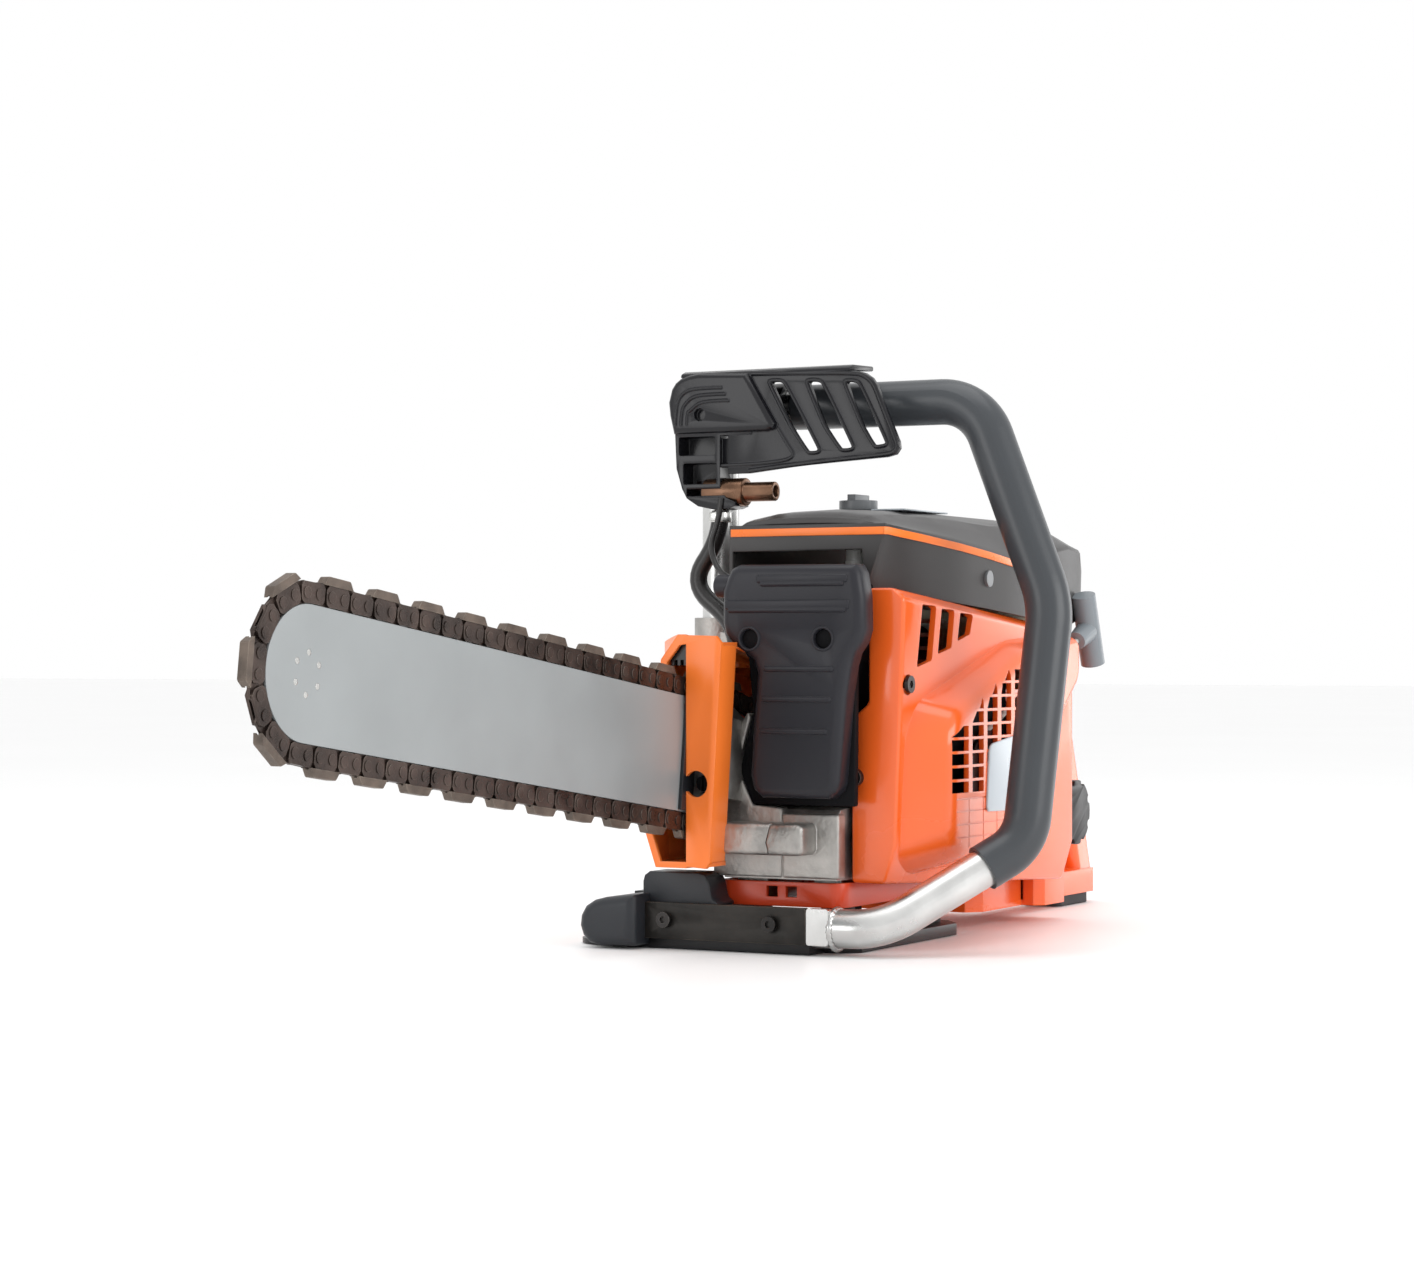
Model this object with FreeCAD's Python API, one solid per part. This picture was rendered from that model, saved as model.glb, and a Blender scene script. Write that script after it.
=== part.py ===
import FreeCAD, Part
import math
import os

# Hand-held petrol chain cutter. Millimetres, +X towards the bar's nose, +Y the machine's
# left, +Z up. The origin is the middle of the skid plate's underside, on the ground.

V = FreeCAD.Vector
os.makedirs("parts", exist_ok=True)

# ---- driving dimensions ----
SLIDE_GAP = 0.05          # radial clearance of a shaft in its hole
SEAT_GAP = 0.02           # clearance of a part seated in another
MOVE_GAP = 0.4            # space beside moving faces

CRANK_X = -31.0
CRANK_Z = 108.0
BAR_TILT = 7.5            # the bar's rise towards its nose, degrees
SHAFT_R = 7.5
CASE_R = 52.0
CHAMBER_R = 42.0
CASE_RIGHT = 8.0
CASE_SEAM = 36.0
CASE_LEFT = 92.0
DECK_Z = 160.0

PITCH = 11.28             # rivet to rivet
STRAP_COUNT = 60
NOSE_TEETH = 12
RIM_TEETH = 8
BAR_Y = -14.0
BAR_T = 5.0
BAR_HALF = 37.0
GROOVE_T = 1.8
GROOVE_DEPTH = 10.0
TAIL_U = 80.0             # where the chain leaves the bar's rails
LINK_T = 1.6
STRAP_T = 1.7
STRAP_H = 12.0
RIVET_R = 2.3
SEGMENT_T = 5.8
STUD_R = 5.0
STUD_U = (76.0, 112.0)
PAD_Y = BAR_Y + BAR_T / 2 + SEAT_GAP   # the casting's face behind the bar
TENSION_R = 3.5
TENSION_AT = (100.0, -13.0)   # the tensioner pin's place in the bar's frame

GUARD_OUT = -46.0
GUARD_IN = -9.0
GUARD_WALL = 3.0
GUARD_FRONT = 118.0
DRUM_R = 38.0
FLYWHEEL_R = 56.0
PULLEY_R = 27.0
ROPE_R = 2.0

TUBE_R = 12.5
TUBE_WALL = 2.5
SLEEVE_T = 2.6
HANDLE_TOP = 358.0
HANDLE_X = -20.0
HANDLE_RIGHT = -58.0

SKID_T = 8.0
TRAY_Z = 28.0
WEAR_X = 95.0
WEAR_T = 6.0
GRIP_Y = 45.0
FILLER_AT = (-224.0, 78.0)
DECOMP_AT = (-70.0, 242.0)
NIPPLE_R = 6.5
NIPPLE_LENGTH = 22.0
HOSE_R = 6.0
WATER_X = 14.0
WATER_Z = 300.0
HOSE_Y = -40.0

NOSE_R = 2 * NOSE_TEETH * PITCH / (2 * math.pi)
RIM_R = 2 * RIM_TEETH * PITCH / (2 * math.pi)


# ---- helpers ----
def save(name, shape):
    if isinstance(shape, (list, tuple)):
        shape = Part.makeCompound(list(shape))
    shape.exportStep("parts/" + name + ".step")


def box(x0, x1, y0, y1, z0, z1):
    return Part.makeBox(x1 - x0, y1 - y0, z1 - z0, V(x0, y0, z0))


def rounded(x0, x1, y0, y1, z0, z1, radius, axis="z"):
    """A box with the four edges along one axis rounded."""
    shape = box(x0, x1, y0, y1, z0, z1)
    way = {"x": V(1, 0, 0), "y": V(0, 1, 0), "z": V(0, 0, 1)}[axis]
    edges = []
    for edge in shape.Edges:
        if abs(edge.tangentAt(edge.FirstParameter).dot(way)) > 0.99:
            edges.append(edge)
    return shape.makeFillet(radius, edges)


def rod(axis, centre, r, start, end):
    """A cylinder along an axis: centre gives the other two coordinates."""
    a, b = centre
    base = {"x": V(start, a, b), "y": V(a, start, b), "z": V(a, b, start)}[axis]
    way = {"x": V(1, 0, 0), "y": V(0, 1, 0), "z": V(0, 0, 1)}[axis]
    return Part.makeCylinder(r, end - start, base, way)


def ring(axis, centre, outer, inner, start, end):
    hole = rod(axis, centre, inner, start - 1, end + 1)
    return rod(axis, centre, outer, start, end).cut(hole)


def wire(points):
    return Part.makePolygon([V(*p) for p in points] + [V(*points[0])])


def prism(axis, points, start, end):
    """A polygon in the plane across the axis, pulled along it."""
    if axis == "x":
        outline = [(start, a, b) for a, b in points]
        pull = V(end - start, 0, 0)
    elif axis == "y":
        outline = [(a, start, b) for a, b in points]
        pull = V(0, end - start, 0)
    else:
        outline = [(a, b, start) for a, b in points]
        pull = V(0, 0, end - start)
    return Part.Face(wire(outline)).extrude(pull)


def between(axis, first, start, second, end):
    """A straight-sided solid from one polygon to another with as many points."""
    order = {"x": lambda s, a, b: (s, a, b), "y": lambda s, a, b: (a, s, b),
             "z": lambda s, a, b: (a, b, s)}[axis]
    lower = wire([order(start, a, b) for a, b in first])
    upper = wire([order(end, a, b) for a, b in second])
    return Part.makeLoft([lower, upper], True, True)


def join(shapes):
    return shapes[0].multiFuse(shapes[1:]).removeSplitter()


def at_bar(shape):
    """From the bar's own frame, the crank at 0,0 and u forward, to the machine's."""
    moved = shape.copy()
    moved.rotate(V(0, 0, 0), V(0, 1, 0), -BAR_TILT)
    moved.translate(V(CRANK_X, 0, CRANK_Z))
    return moved


def bar_point(u, w):
    """The machine's X and Z of a point of the bar's plane."""
    tilt = math.radians(BAR_TILT)
    x = CRANK_X + u * math.cos(tilt) - w * math.sin(tilt)
    z = CRANK_Z + u * math.sin(tilt) + w * math.cos(tilt)
    return x, z


def centreline(points, radii):
    """Straight runs joined by tangent arcs. Prints each bend's radius."""
    points = [V(*p) for p in points]
    edges = []
    last = points[0]
    for i in range(1, len(points) - 1):
        back = (points[i - 1] - points[i]).normalize()
        onward = (points[i + 1] - points[i]).normalize()
        half = back.getAngle(onward) / 2
        reach = radii[i - 1] / math.tan(half)
        start = points[i] + back * reach
        end = points[i] + onward * reach
        middle_way = (back + onward).normalize()
        centre = points[i] + middle_way * (radii[i - 1] / math.sin(half))
        middle = centre - middle_way * radii[i - 1]
        edges.append(Part.LineSegment(last, start).toShape())
        edges.append(Part.Arc(start, middle, end).toShape())
        last = end
    edges.append(Part.LineSegment(last, points[-1]).toShape())
    return Part.Wire(edges)


def tube(path, r):
    edge = path.Edges[0]
    start = edge.valueAt(edge.FirstParameter)
    way = edge.tangentAt(edge.FirstParameter)
    circle = Part.Wire(Part.makeCircle(r, start, way))
    return path.makePipeShell([circle], True, False)


# ---- chain path ----
def chain_frame():
    """Where the chain runs: the nose centre's distance and the places of its rivets."""
    reach = math.hypot(TAIL_U, NOSE_R)
    lean = math.atan2(NOSE_R, TAIL_U)
    touch = lean + math.acos(RIM_R / reach)
    slant = math.sqrt(reach ** 2 - RIM_R ** 2)
    wrap = 2 * (math.pi - touch) * RIM_R
    length = 2 * STRAP_COUNT * PITCH
    rail = (length - wrap - 2 * slant - math.pi * NOSE_R) / 2
    nose = TAIL_U + rail

    def place(s):
        """The point at arc length s from the nose's tip, over the top and back."""
        s = s % length
        if s > length / 2:
            u, w = place(length - s)
            return u, -w
        quarter = math.pi * NOSE_R / 2
        if s < quarter:
            angle = s / NOSE_R
            return nose + NOSE_R * math.cos(angle), NOSE_R * math.sin(angle)
        s -= quarter
        if s < rail:
            return nose - s, NOSE_R
        s -= rail
        if s < slant:
            share = s / slant
            u = TAIL_U + share * (RIM_R * math.cos(touch) - TAIL_U)
            w = NOSE_R + share * (RIM_R * math.sin(touch) - NOSE_R)
            return u, w
        angle = touch + (s - slant) / RIM_R
        return RIM_R * math.cos(angle), RIM_R * math.sin(angle)

    rivets = [place((i - 0.5) * PITCH) for i in range(2 * STRAP_COUNT)]
    return nose, rivets


NOSE_U, RIVETS = chain_frame()


def link_place(shape, first, second):
    """Puts a link drawn between rivets at -PITCH/2 and +PITCH/2 on the chain's path."""
    way = math.degrees(math.atan2(second[1] - first[1], second[0] - first[0]))
    moved = shape.copy()
    moved.rotate(V(0, 0, 0), V(0, 1, 0), -way)
    moved.translate(V((first[0] + second[0]) / 2, 0, (first[1] + second[1]) / 2))
    return at_bar(moved)


def rivet_holes(shape, y0, y1):
    for x in (-PITCH / 2, PITCH / 2):
        shape = shape.cut(rod("y", (x, 0), RIVET_R + SLIDE_GAP, y0 - 1, y1 + 1))
    return shape


# In the link's frame the path runs over the top from the nose back, so the bar is
# below on the +Z side: inward is +Z when the link points backwards.
def chain_straps():
    low = STRAP_H / 2 - 0.5
    outline = [(-10.3, 2.0), (-9.6, 4.2), (-7.6, low + 0.2), (-3.0, low), (3.0, low),
               (7.6, low + 0.2), (9.6, 4.2), (10.3, 2.0), (10.6, -3.2), (8.4, -6.0),
               (-8.4, -6.0), (-10.6, -3.2)]
    plates = []
    for side in (-1, 1):
        inner = BAR_Y + side * (LINK_T / 2 + 0.06)
        y0, y1 = sorted((inner, inner + side * STRAP_T))
        plates.append(rivet_holes(prism("y", outline, y0, y1), y0, y1))
    solids = []
    for i in range(STRAP_COUNT):
        for plate in plates:
            solids.append(link_place(plate, RIVETS[2 * i], RIVETS[2 * i + 1]))
    return solids


def chain_drive_links():
    y0 = BAR_Y - LINK_T / 2
    outline = [(-9.2, 2.5), (-6.2, 5.6), (-3.6, 7.5), (-2.0, 12.0), (2.0, 12.0), (3.6, 7.5),
               (6.2, 5.6), (9.2, 2.5), (9.0, -3.6), (6.0, -6.6), (-6.0, -6.6), (-9.0, -3.6)]
    plate = rivet_holes(prism("y", outline, y0, y0 + LINK_T), y0, y0 + LINK_T)
    solids = []
    for i in range(STRAP_COUNT):
        second = RIVETS[(2 * i + 2) % len(RIVETS)]
        solids.append(link_place(plate, RIVETS[2 * i + 1], second))
    return solids


def chain_rivets():
    half = LINK_T / 2 + 0.06 + STRAP_T
    body = rod("y", (0, 0), RIVET_R, BAR_Y - half, BAR_Y + half)
    for side in (-1, 1):
        y0, y1 = sorted((BAR_Y + side * half, BAR_Y + side * (half + 0.5)))
        body = body.fuse(rod("y", (0, 0), RIVET_R + 0.9, y0, y1))
    body = body.removeSplitter()
    solids = []
    for u, w in RIVETS:
        solids.append(at_bar(body.translated(V(u, 0, w))))
    return solids


def chain_segments():
    """Every second pair of straps carries a diamond block with ramped shoulders."""
    y0 = BAR_Y - SEGMENT_T / 2
    seat = -6.0 - SEAT_GAP
    outline = [(-13.4, seat), (13.4, seat), (12.6, seat - 1.2), (10.5, seat - 4.2),
               (9.5, seat - 4.8), (-9.5, seat - 4.8), (-10.5, seat - 4.2), (-12.6, seat - 1.2)]
    block = prism("y", outline, y0, y0 + SEGMENT_T)
    slot = box(-14, 14, BAR_Y - LINK_T / 2 - 0.1, BAR_Y + LINK_T / 2 + 0.1, seat - 0.9, seat + 1)
    block = block.cut(slot)
    solids = []
    for i in range(0, STRAP_COUNT, 2):
        solids.append(link_place(block, RIVETS[2 * i], RIVETS[2 * i + 1]))
    return solids


# ---- bar ----
def bar_outline(half, tail_half, tail, y0, y1):
    """The bar's plate: a rounded nose, straight rails and a tapered tail."""
    slope = math.radians(30)
    nose_x = NOSE_U + half * math.cos(math.radians(90))
    a = V(tail, y0, -tail_half)
    b = V(TAIL_U + 4, y0, -half)
    c = V(nose_x, y0, -half)
    d = V(NOSE_U + half, y0, 0)
    e = V(nose_x, y0, half)
    f = V(TAIL_U + 4, y0, half)
    g = V(tail, y0, tail_half)
    h = V(tail - tail_half * math.tan(slope) * 0.5, y0, 0)
    edges = [Part.LineSegment(a, b).toShape(), Part.LineSegment(b, c).toShape(),
             Part.Arc(c, d, e).toShape(), Part.LineSegment(e, f).toShape(),
             Part.LineSegment(f, g).toShape(), Part.Arc(g, h, a).toShape()]
    return Part.Face(Part.Wire(edges)).extrude(V(0, y1 - y0, 0))


def tail_slot(r, y0, y1):
    first, second = STUD_U[0] - 12, STUD_U[1] + 12
    slot = box(first, second, y0, y1, -r, r)
    for u in (first, second):
        slot = slot.fuse(rod("y", (u, 0), r, y0, y1))
    return slot


def guide_bar():
    y0 = BAR_Y - BAR_T / 2
    plate = bar_outline(BAR_HALF, 24.0, 48.0, y0, y0 + BAR_T)
    grooved = bar_outline(BAR_HALF + 1, 26.0, 40.0, BAR_Y - GROOVE_T / 2, BAR_Y + GROOVE_T / 2)
    core = bar_outline(BAR_HALF - GROOVE_DEPTH, 15.0, 56.0, y0, y0 + BAR_T)
    core = core.cut(rod("y", (NOSE_U, 0), BAR_HALF + 1, y0 - 1, y0 + BAR_T + 1))
    hub = rod("y", (NOSE_U, 0), 18.0 - SLIDE_GAP, y0, y0 + BAR_T)
    plate = plate.cut(grooved.cut(core).cut(hub))
    plate = plate.cut(tail_slot(STUD_R + 0.2, y0 - 1, y0 + BAR_T + 1))
    plate = plate.cut(rod("y", TENSION_AT, TENSION_R + 0.2, y0 - 1, y0 + BAR_T + 1))
    for u, w in nose_rivet_places():
        plate = plate.cut(rod("y", (u, w), 1.8, y0 - 1, y0 + BAR_T + 1))
    return at_bar(plate)


def nose_rivet_places():
    places = []
    for i in range(6):
        angle = math.radians(60 * i + 30)
        places.append((NOSE_U + 11.4 * math.cos(angle), 11.4 * math.sin(angle)))
    return places


def nose_sprocket():
    """A toothed wheel on its hub: the teeth stand under the straps."""
    y0 = BAR_Y - 0.75
    wheel = []
    for i in range(NOSE_TEETH):
        for angle, r in ((-9, 30.0), (-5.5, 36.0), (5.5, 36.0), (9, 30.0)):
            a = math.radians(i * 360 / NOSE_TEETH + angle)
            wheel.append((NOSE_U + r * math.cos(a), r * math.sin(a)))
    shape = prism("y", wheel, y0, y0 + 1.5)
    return at_bar(shape.cut(rod("y", (NOSE_U, 0), 18.0, y0 - 1, y0 + 3)))


def nose_rivets():
    solids = []
    for u, w in nose_rivet_places():
        pin = rod("y", (u, w), 1.8 - SEAT_GAP, BAR_Y - BAR_T / 2, BAR_Y + BAR_T / 2)
        solids.append(at_bar(pin))
    return solids


def bar_studs():
    solids = []
    for u in STUD_U:
        solids.append(at_bar(rod("y", (u, 0), STUD_R, GUARD_OUT - 9.5, PAD_Y + 12)))
    return solids


def hexagon(r):
    return [(r * math.cos(math.radians(60 * i)), r * math.sin(math.radians(60 * i)))
            for i in range(6)]


def bar_nuts():
    solids = []
    for u in STUD_U:
        y0 = GUARD_OUT - 8 - SEAT_GAP
        nut = prism("y", hexagon(9.2), y0, GUARD_OUT - SEAT_GAP)
        flange = rod("y", (0, 0), 11.0, GUARD_OUT - 2 - SEAT_GAP, GUARD_OUT - SEAT_GAP)
        nut = nut.fuse(flange).cut(rod("y", (0, 0), STUD_R + SEAT_GAP, y0 - 1, GUARD_OUT + 1))
        solids.append(at_bar(nut.translated(V(u, 0, 0))))
    return solids


def tension_screw_place():
    return bar_point(*TENSION_AT)


def chain_tensioner():
    """A screw along the machine whose block's pin pulls the bar forward."""
    x, z = tension_screw_place()
    y_axis = -2.0
    block = box(x - 6, x + 6, PAD_Y + 0.5, y_axis + 5, z - 6, z + 6)
    pin = rod("y", (x, z), TENSION_R, BAR_Y - BAR_T / 2, PAD_Y + 1)
    screw = rod("x", (y_axis, z), 3.0, x, 107)
    head = rod("x", (y_axis, z), 5.0, 101, 108)
    slot = box(106.5, 109, y_axis - 0.6, y_axis + 0.6, z - 6, z + 6)
    return join([block, pin, screw, head]).cut(slot)


# ---- drive ----
def drive_sprocket():
    """The rim the chain's drive links run in, with the clutch drum's floor."""
    wheel = []
    for i in range(RIM_TEETH):
        for angle, r in ((-13, 15.5), (-7.5, 21.5), (7.5, 21.5), (13, 15.5)):
            a = math.radians(i * 360 / RIM_TEETH + angle)
            wheel.append((r * math.cos(a), r * math.sin(a)))
    star = prism("y", wheel, BAR_Y - 4, BAR_Y + 4)
    flanges = [rod("y", (0, 0), 22.6, BAR_Y - 5.5, BAR_Y - 3.4),
               rod("y", (0, 0), 22.6, BAR_Y + 3.4, BAR_Y + 5.5)]
    shape = join([star] + flanges)
    return at_bar(shape.cut(rod("y", (0, 0), SHAFT_R + SLIDE_GAP, BAR_Y - 9, BAR_Y + 9)))


DRUM_FLOOR = BAR_Y - 5.5 - SEAT_GAP


def clutch_drum():
    centre = (CRANK_X, CRANK_Z)
    outer = rod("y", centre, DRUM_R, DRUM_FLOOR - 20, DRUM_FLOOR)
    inner = rod("y", centre, DRUM_R - 2.5, DRUM_FLOOR - 21, DRUM_FLOOR - 2.5)
    bore = rod("y", centre, SHAFT_R + SLIDE_GAP, DRUM_FLOOR - 30, DRUM_FLOOR + 1)
    return outer.cut(inner).cut(bore)


SHOE_OUT = DRUM_FLOOR - 4
SHOE_IN = DRUM_FLOOR - 18


def clutch_hub():
    centre = (CRANK_X, CRANK_Z)
    hub = rod("y", centre, 14.0, SHOE_IN, SHOE_OUT)
    arms = [prism("y", hexagon(9.0), SHOE_IN - 4.5, SHOE_IN + 1).translated(V(CRANK_X, 0, CRANK_Z))]
    for i in range(3):
        arm = Part.makeBox(26, SHOE_OUT - SHOE_IN, 8, V(0, SHOE_IN, -4))
        arm.rotate(V(0, 0, 0), V(0, 1, 0), 120 * i + 30)
        arm.translate(V(CRANK_X, 0, CRANK_Z))
        arms.append(arm)
    y = (SHOE_IN + SHOE_OUT) / 2
    groove = Part.makeTorus(18.0, 2.0, V(CRANK_X, y, CRANK_Z), V(0, 1, 0))
    bore = rod("y", centre, 6.0 + SEAT_GAP, SHOE_IN - 9, SHOE_OUT + 1)
    return join([hub] + arms).cut(bore).cut(groove)


def clutch_shoes():
    solids = []
    for i in range(3):
        shoe = ring("y", (0, 0), DRUM_R - 3.5, 22.0, SHOE_IN + 1, SHOE_OUT - 1)
        start = math.radians(120 * i + 30 + 14)
        end = math.radians(120 * i + 30 + 106)
        far = 60.0
        wedge = [(0.0, 0.0)]
        for k in range(5):
            a = -(start + (end - start) * k / 4)
            wedge.append((far * math.cos(a), far * math.sin(a)))
        shoe = shoe.common(prism("y", wedge, SHOE_IN - 1, SHOE_OUT + 1))
        solids.append(shoe.translated(V(CRANK_X, 0, CRANK_Z)))
    return solids


def clutch_spring():
    y = (SHOE_IN + SHOE_OUT) / 2
    return Part.makeTorus(18.0, 1.8, V(CRANK_X, y, CRANK_Z), V(0, 1, 0))


def crankshaft():
    centre = (CRANK_X, CRANK_Z)
    shape = [rod("y", centre, 6.0, SHOE_IN - 4.5, SHOE_OUT + 1),
             rod("y", centre, SHAFT_R, SHOE_OUT, 30),
             rod("y", centre, CHAMBER_R - 4, 27, 35),
             rod("y", centre, CHAMBER_R - 4, 47, 55),
             rod("y", (CRANK_X, CRANK_Z + 20), 8.0, 34, 48),
             rod("y", centre, SHAFT_R, 50, 115)]
    return join(shape)


def crank_bearings():
    centre = (CRANK_X, CRANK_Z)
    return [ring("y", centre, 17.5, SHAFT_R + SLIDE_GAP, 12, 24),
            ring("y", centre, 17.5, SHAFT_R + SLIDE_GAP, 60, 72)]


def flywheel():
    centre = (CRANK_X, CRANK_Z)
    shape = [rod("y", centre, FLYWHEEL_R, 97, 101), rod("y", centre, 40, 97, 107),
             rod("y", centre, 14, 97, 116)]
    for i in range(14):
        blade = Part.makeBox(18, 13, 2, V(33, 100, -1))
        blade.rotate(V(0, 0, 0), V(0, 1, 0), i * 360 / 14)
        blade.translate(V(CRANK_X, 0, CRANK_Z))
        shape.append(blade)
    return join(shape).cut(rod("y", centre, SHAFT_R + SEAT_GAP, 96, 120))


# ---- crankcase ----
def case_body(y0, y1):
    centre = (CRANK_X, CRANK_Z)
    front = prism("y", [(CRANK_X, 58), (20, 46), (75, 46), (75, 84), (68, 91), (19, 96),
                        (14, 132), (CRANK_X, 132)], y0, y1)
    deck = box(-76, 14, y0, y1, 128, DECK_Z)
    return join([rod("y", centre, CASE_R, y0, y1), front, deck])


def case_hollow():
    centre = (CRANK_X, CRANK_Z)
    chamber = rod("y", centre, CHAMBER_R, 24.5, 58)
    seats = [rod("y", centre, 17.5 + SEAT_GAP, 12 - SEAT_GAP, 26),
             rod("y", centre, 17.5 + SEAT_GAP, 56, 72 + SEAT_GAP)]
    shaft = rod("y", centre, SHAFT_R + 1.0, -60, 130)
    mouth = rod("z", (CRANK_X, 42), 28.0, CRANK_Z, DECK_Z + 1)
    return join([chamber] + seats + [shaft, mouth])


def crankcase_right():
    body = case_body(CASE_RIGHT, CASE_SEAM - SEAT_GAP)
    pad = box(44, 124, PAD_Y, CASE_RIGHT + 1, -26, 26)
    pad = at_bar(pad)
    foot = box(40, 75, -4, CASE_RIGHT + 1, 46, 66)
    legs = [box(45, 60, -2, 20, 32 + SEAT_GAP, 60), box(-70, -50, CASE_RIGHT, 22, 32 + SEAT_GAP, 84)]
    lug = box(-38, -2, -4, CASE_RIGHT + 1, 140, DECK_Z)
    body = join([body, pad, foot, lug] + legs).cut(case_hollow())
    for u in STUD_U:
        hole = rod("y", (u, 0), STUD_R + SEAT_GAP, PAD_Y - 1, PAD_Y + 12 + SEAT_GAP)
        body = body.cut(at_bar(hole))
    x, z = tension_screw_place()
    body = body.cut(box(x - 8, 120, PAD_Y - 1, 5, z - 7, z + 7))
    return body


def crankcase_left():
    body = case_body(CASE_SEAM, 77)
    bulkhead = rod("y", (CRANK_X, CRANK_Z), CASE_R, 76, CASE_LEFT)
    wall = rounded(-90, 28, 88, CASE_LEFT, 50, 166, 8, "y")
    legs = [box(45, 60, 54, 73, 32 + SEAT_GAP, 60), box(-70, -50, 56, 73, 32 + SEAT_GAP, 84)]
    return join([body, bulkhead, wall] + legs).cut(case_hollow())


# ---- cylinder and intake ----
CYL_Y = 42.0


def cylinder():
    centre = (CRANK_X, CYL_Y)
    shape = [rod("z", centre, 33.0, DECK_Z + SEAT_GAP, 243),
             rounded(-71, 9, 6, 78, DECK_Z + SEAT_GAP, 168, 8),
             box(0, 22 - SEAT_GAP, 24, 60, 184, 217), box(-86, -60, 26, 58, 178, 209)]
    for i in range(7):
        z = 176 + i * 9.0
        shape.append(rounded(-78, 15, 5, 88, z, z + 2.5, 14))
    shape.append(rounded(-60, -2, 13, 71, 236, 247, 12))
    body = join(shape)
    body = body.cut(rod("z", centre, 28.0, 150, 233))
    body = body.cut(rod("x", (CYL_Y, 200), 11.0, -10, 22))
    body = body.cut(rod("x", (CYL_Y, 194), 12.0, -87, -50))
    return body.cut(rod("z", centre, 7.0 + SEAT_GAP, 230, 260))


def piston():
    centre = (CRANK_X, CYL_Y)
    crown = rod("z", centre, 28.0 - SLIDE_GAP, 178, 216)
    return crown.cut(rod("z", centre, 23.0, 170, 208))


def spark_plug():
    centre = (CRANK_X, CYL_Y)
    return join([rod("z", centre, 7.0, 237, 250), rod("z", centre, 9.5, 247 + SEAT_GAP, 254),
                 rod("z", centre, 9.0, 253, 272)])


def intake_boot():
    return ring("x", (CYL_Y, 194), 19.0, 12.0, -112, -86 - SEAT_GAP)


def carburettor():
    body = rounded(-150, -112 - SEAT_GAP, 22, 62, 174, 214, 6, "x")
    bowl = rounded(-146, -118, 26, 58, 164, 175, 5)
    return join([body, bowl]).cut(rod("x", (CYL_Y, 194), 12.0, -151, -111))


def air_filter():
    frame = box(-196, -150 - SEAT_GAP, 2, 92, 166, 224)
    pleats = []
    for i in range(7):
        z = 170 + i * 7.4
        pleats.append(box(-212, -195, 6, 88, z, z + 4.4))
    return join([frame] + pleats).cut(rod("x", (CYL_Y, 194), 12.0, -180, -149))


def decompression_valve():
    """A push button standing in a recess of the cover's left side."""
    return join([rod("y", DECOMP_AT, 4.0, 96, 117), rod("y", DECOMP_AT, 5.5, 115.5, 121)])


# ---- muffler ----
MUFFLER = [(26, 100), (68, 100), (73, 110), (77, 152), (86, 186), (88, 200), (88, 236),
           (82, 242), (10, 242), (5, 236), (5, 200), (14, 188), (20, 112)]


def muffler_body():
    inner = [(28, 103), (66, 103), (70, 111), (74, 153), (83, 187), (85, 201), (85, 235),
             (81, 239), (11, 239), (8, 235), (8, 201), (17, 189), (23, 113)]
    shell = prism("x", MUFFLER, 22, 74).cut(prism("x", inner, 24, 72))
    port = rod("x", (CYL_Y, 200), 11.0, 20, 26)
    pipe = rod("y", (60, 228), 9.0, -8, 9)
    bore = rod("y", (60, 228), 7.0, -9, 12)
    return shell.cut(port).fuse(pipe).cut(bore)


COVER_LINE = [(27, 98), (74, 98), (82, 106), (89, 188), (97, 196), (103, 204), (103, 236),
              (95, 245), (10, 245), (2, 236), (2, 204), (6, 196), (14, 188), (19, 106)]


def muffler_cover():
    """A pressed heat shield with cross ribs, open at the back."""
    inner = [(29, 100), (72, 100), (80, 107), (86.5, 188), (94, 196), (100.5, 204),
             (100.5, 234), (94, 242.5), (11, 242.5), (4.5, 234), (4.5, 204), (8, 196),
             (16.5, 188), (21.5, 107)]
    mid = [(30, 101), (71, 101), (79, 108), (86, 190), (95, 198), (100, 205), (100, 233),
           (93, 242), (12, 242), (5, 233), (5, 205), (8, 198), (17, 190), (22, 108)]
    block = join([prism("x", COVER_LINE, 76, 86), between("x", COVER_LINE, 86, mid, 90)])
    block = block.cut(prism("x", inner, 75, 83.5))
    ribs = []
    for z in (112, 133, 154):
        ribs.append(rounded(88, 92, 29, 75, z, z + 13, 1.8, "y"))
    for z in (216, 229):
        ribs.append(rounded(88, 92, 14, 90, z, z + 9, 1.8, "y"))
    block = join([block] + ribs)
    for y in MUFFLER_SCREW_Y:
        block = block.cut(rod("x", (y, 202), 6.5, 86, 93))
        block = block.cut(rod("x", (y, 202), 3.0, 74, 93))
    return block


MUFFLER_SCREW_Y = (18.0, 70.0)


def muffler_screws():
    solids = []
    for y in MUFFLER_SCREW_Y:
        screw = join([rod("x", (y, 202), 2.9, 74 + SEAT_GAP, 86.5), rod("x", (y, 202), 5.0, 86, 89)])
        solids.append(screw.cut(prism("x", [(y + a * 0.27, 202 + b * 0.27) for a, b in
                                            hexagon(9.2)], 87, 90)))
    return solids


# ---- top cover ----
def cover_section(t, right, left, low, shoulder, top):
    """The cover's cross-section in Y and Z, drawn t inside its outside."""
    floor = low - 5 if t else low
    return [(right + t, floor), (right + t, shoulder - 6), (right + 8 + t * 0.7, top - 8 - t * 0.7),
            (right + 34, top - t), (left - 36, top - t), (left - 12 - t * 0.5, top - 7 - t * 0.8),
            (left - t, shoulder), (left - t, floor)]


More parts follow.
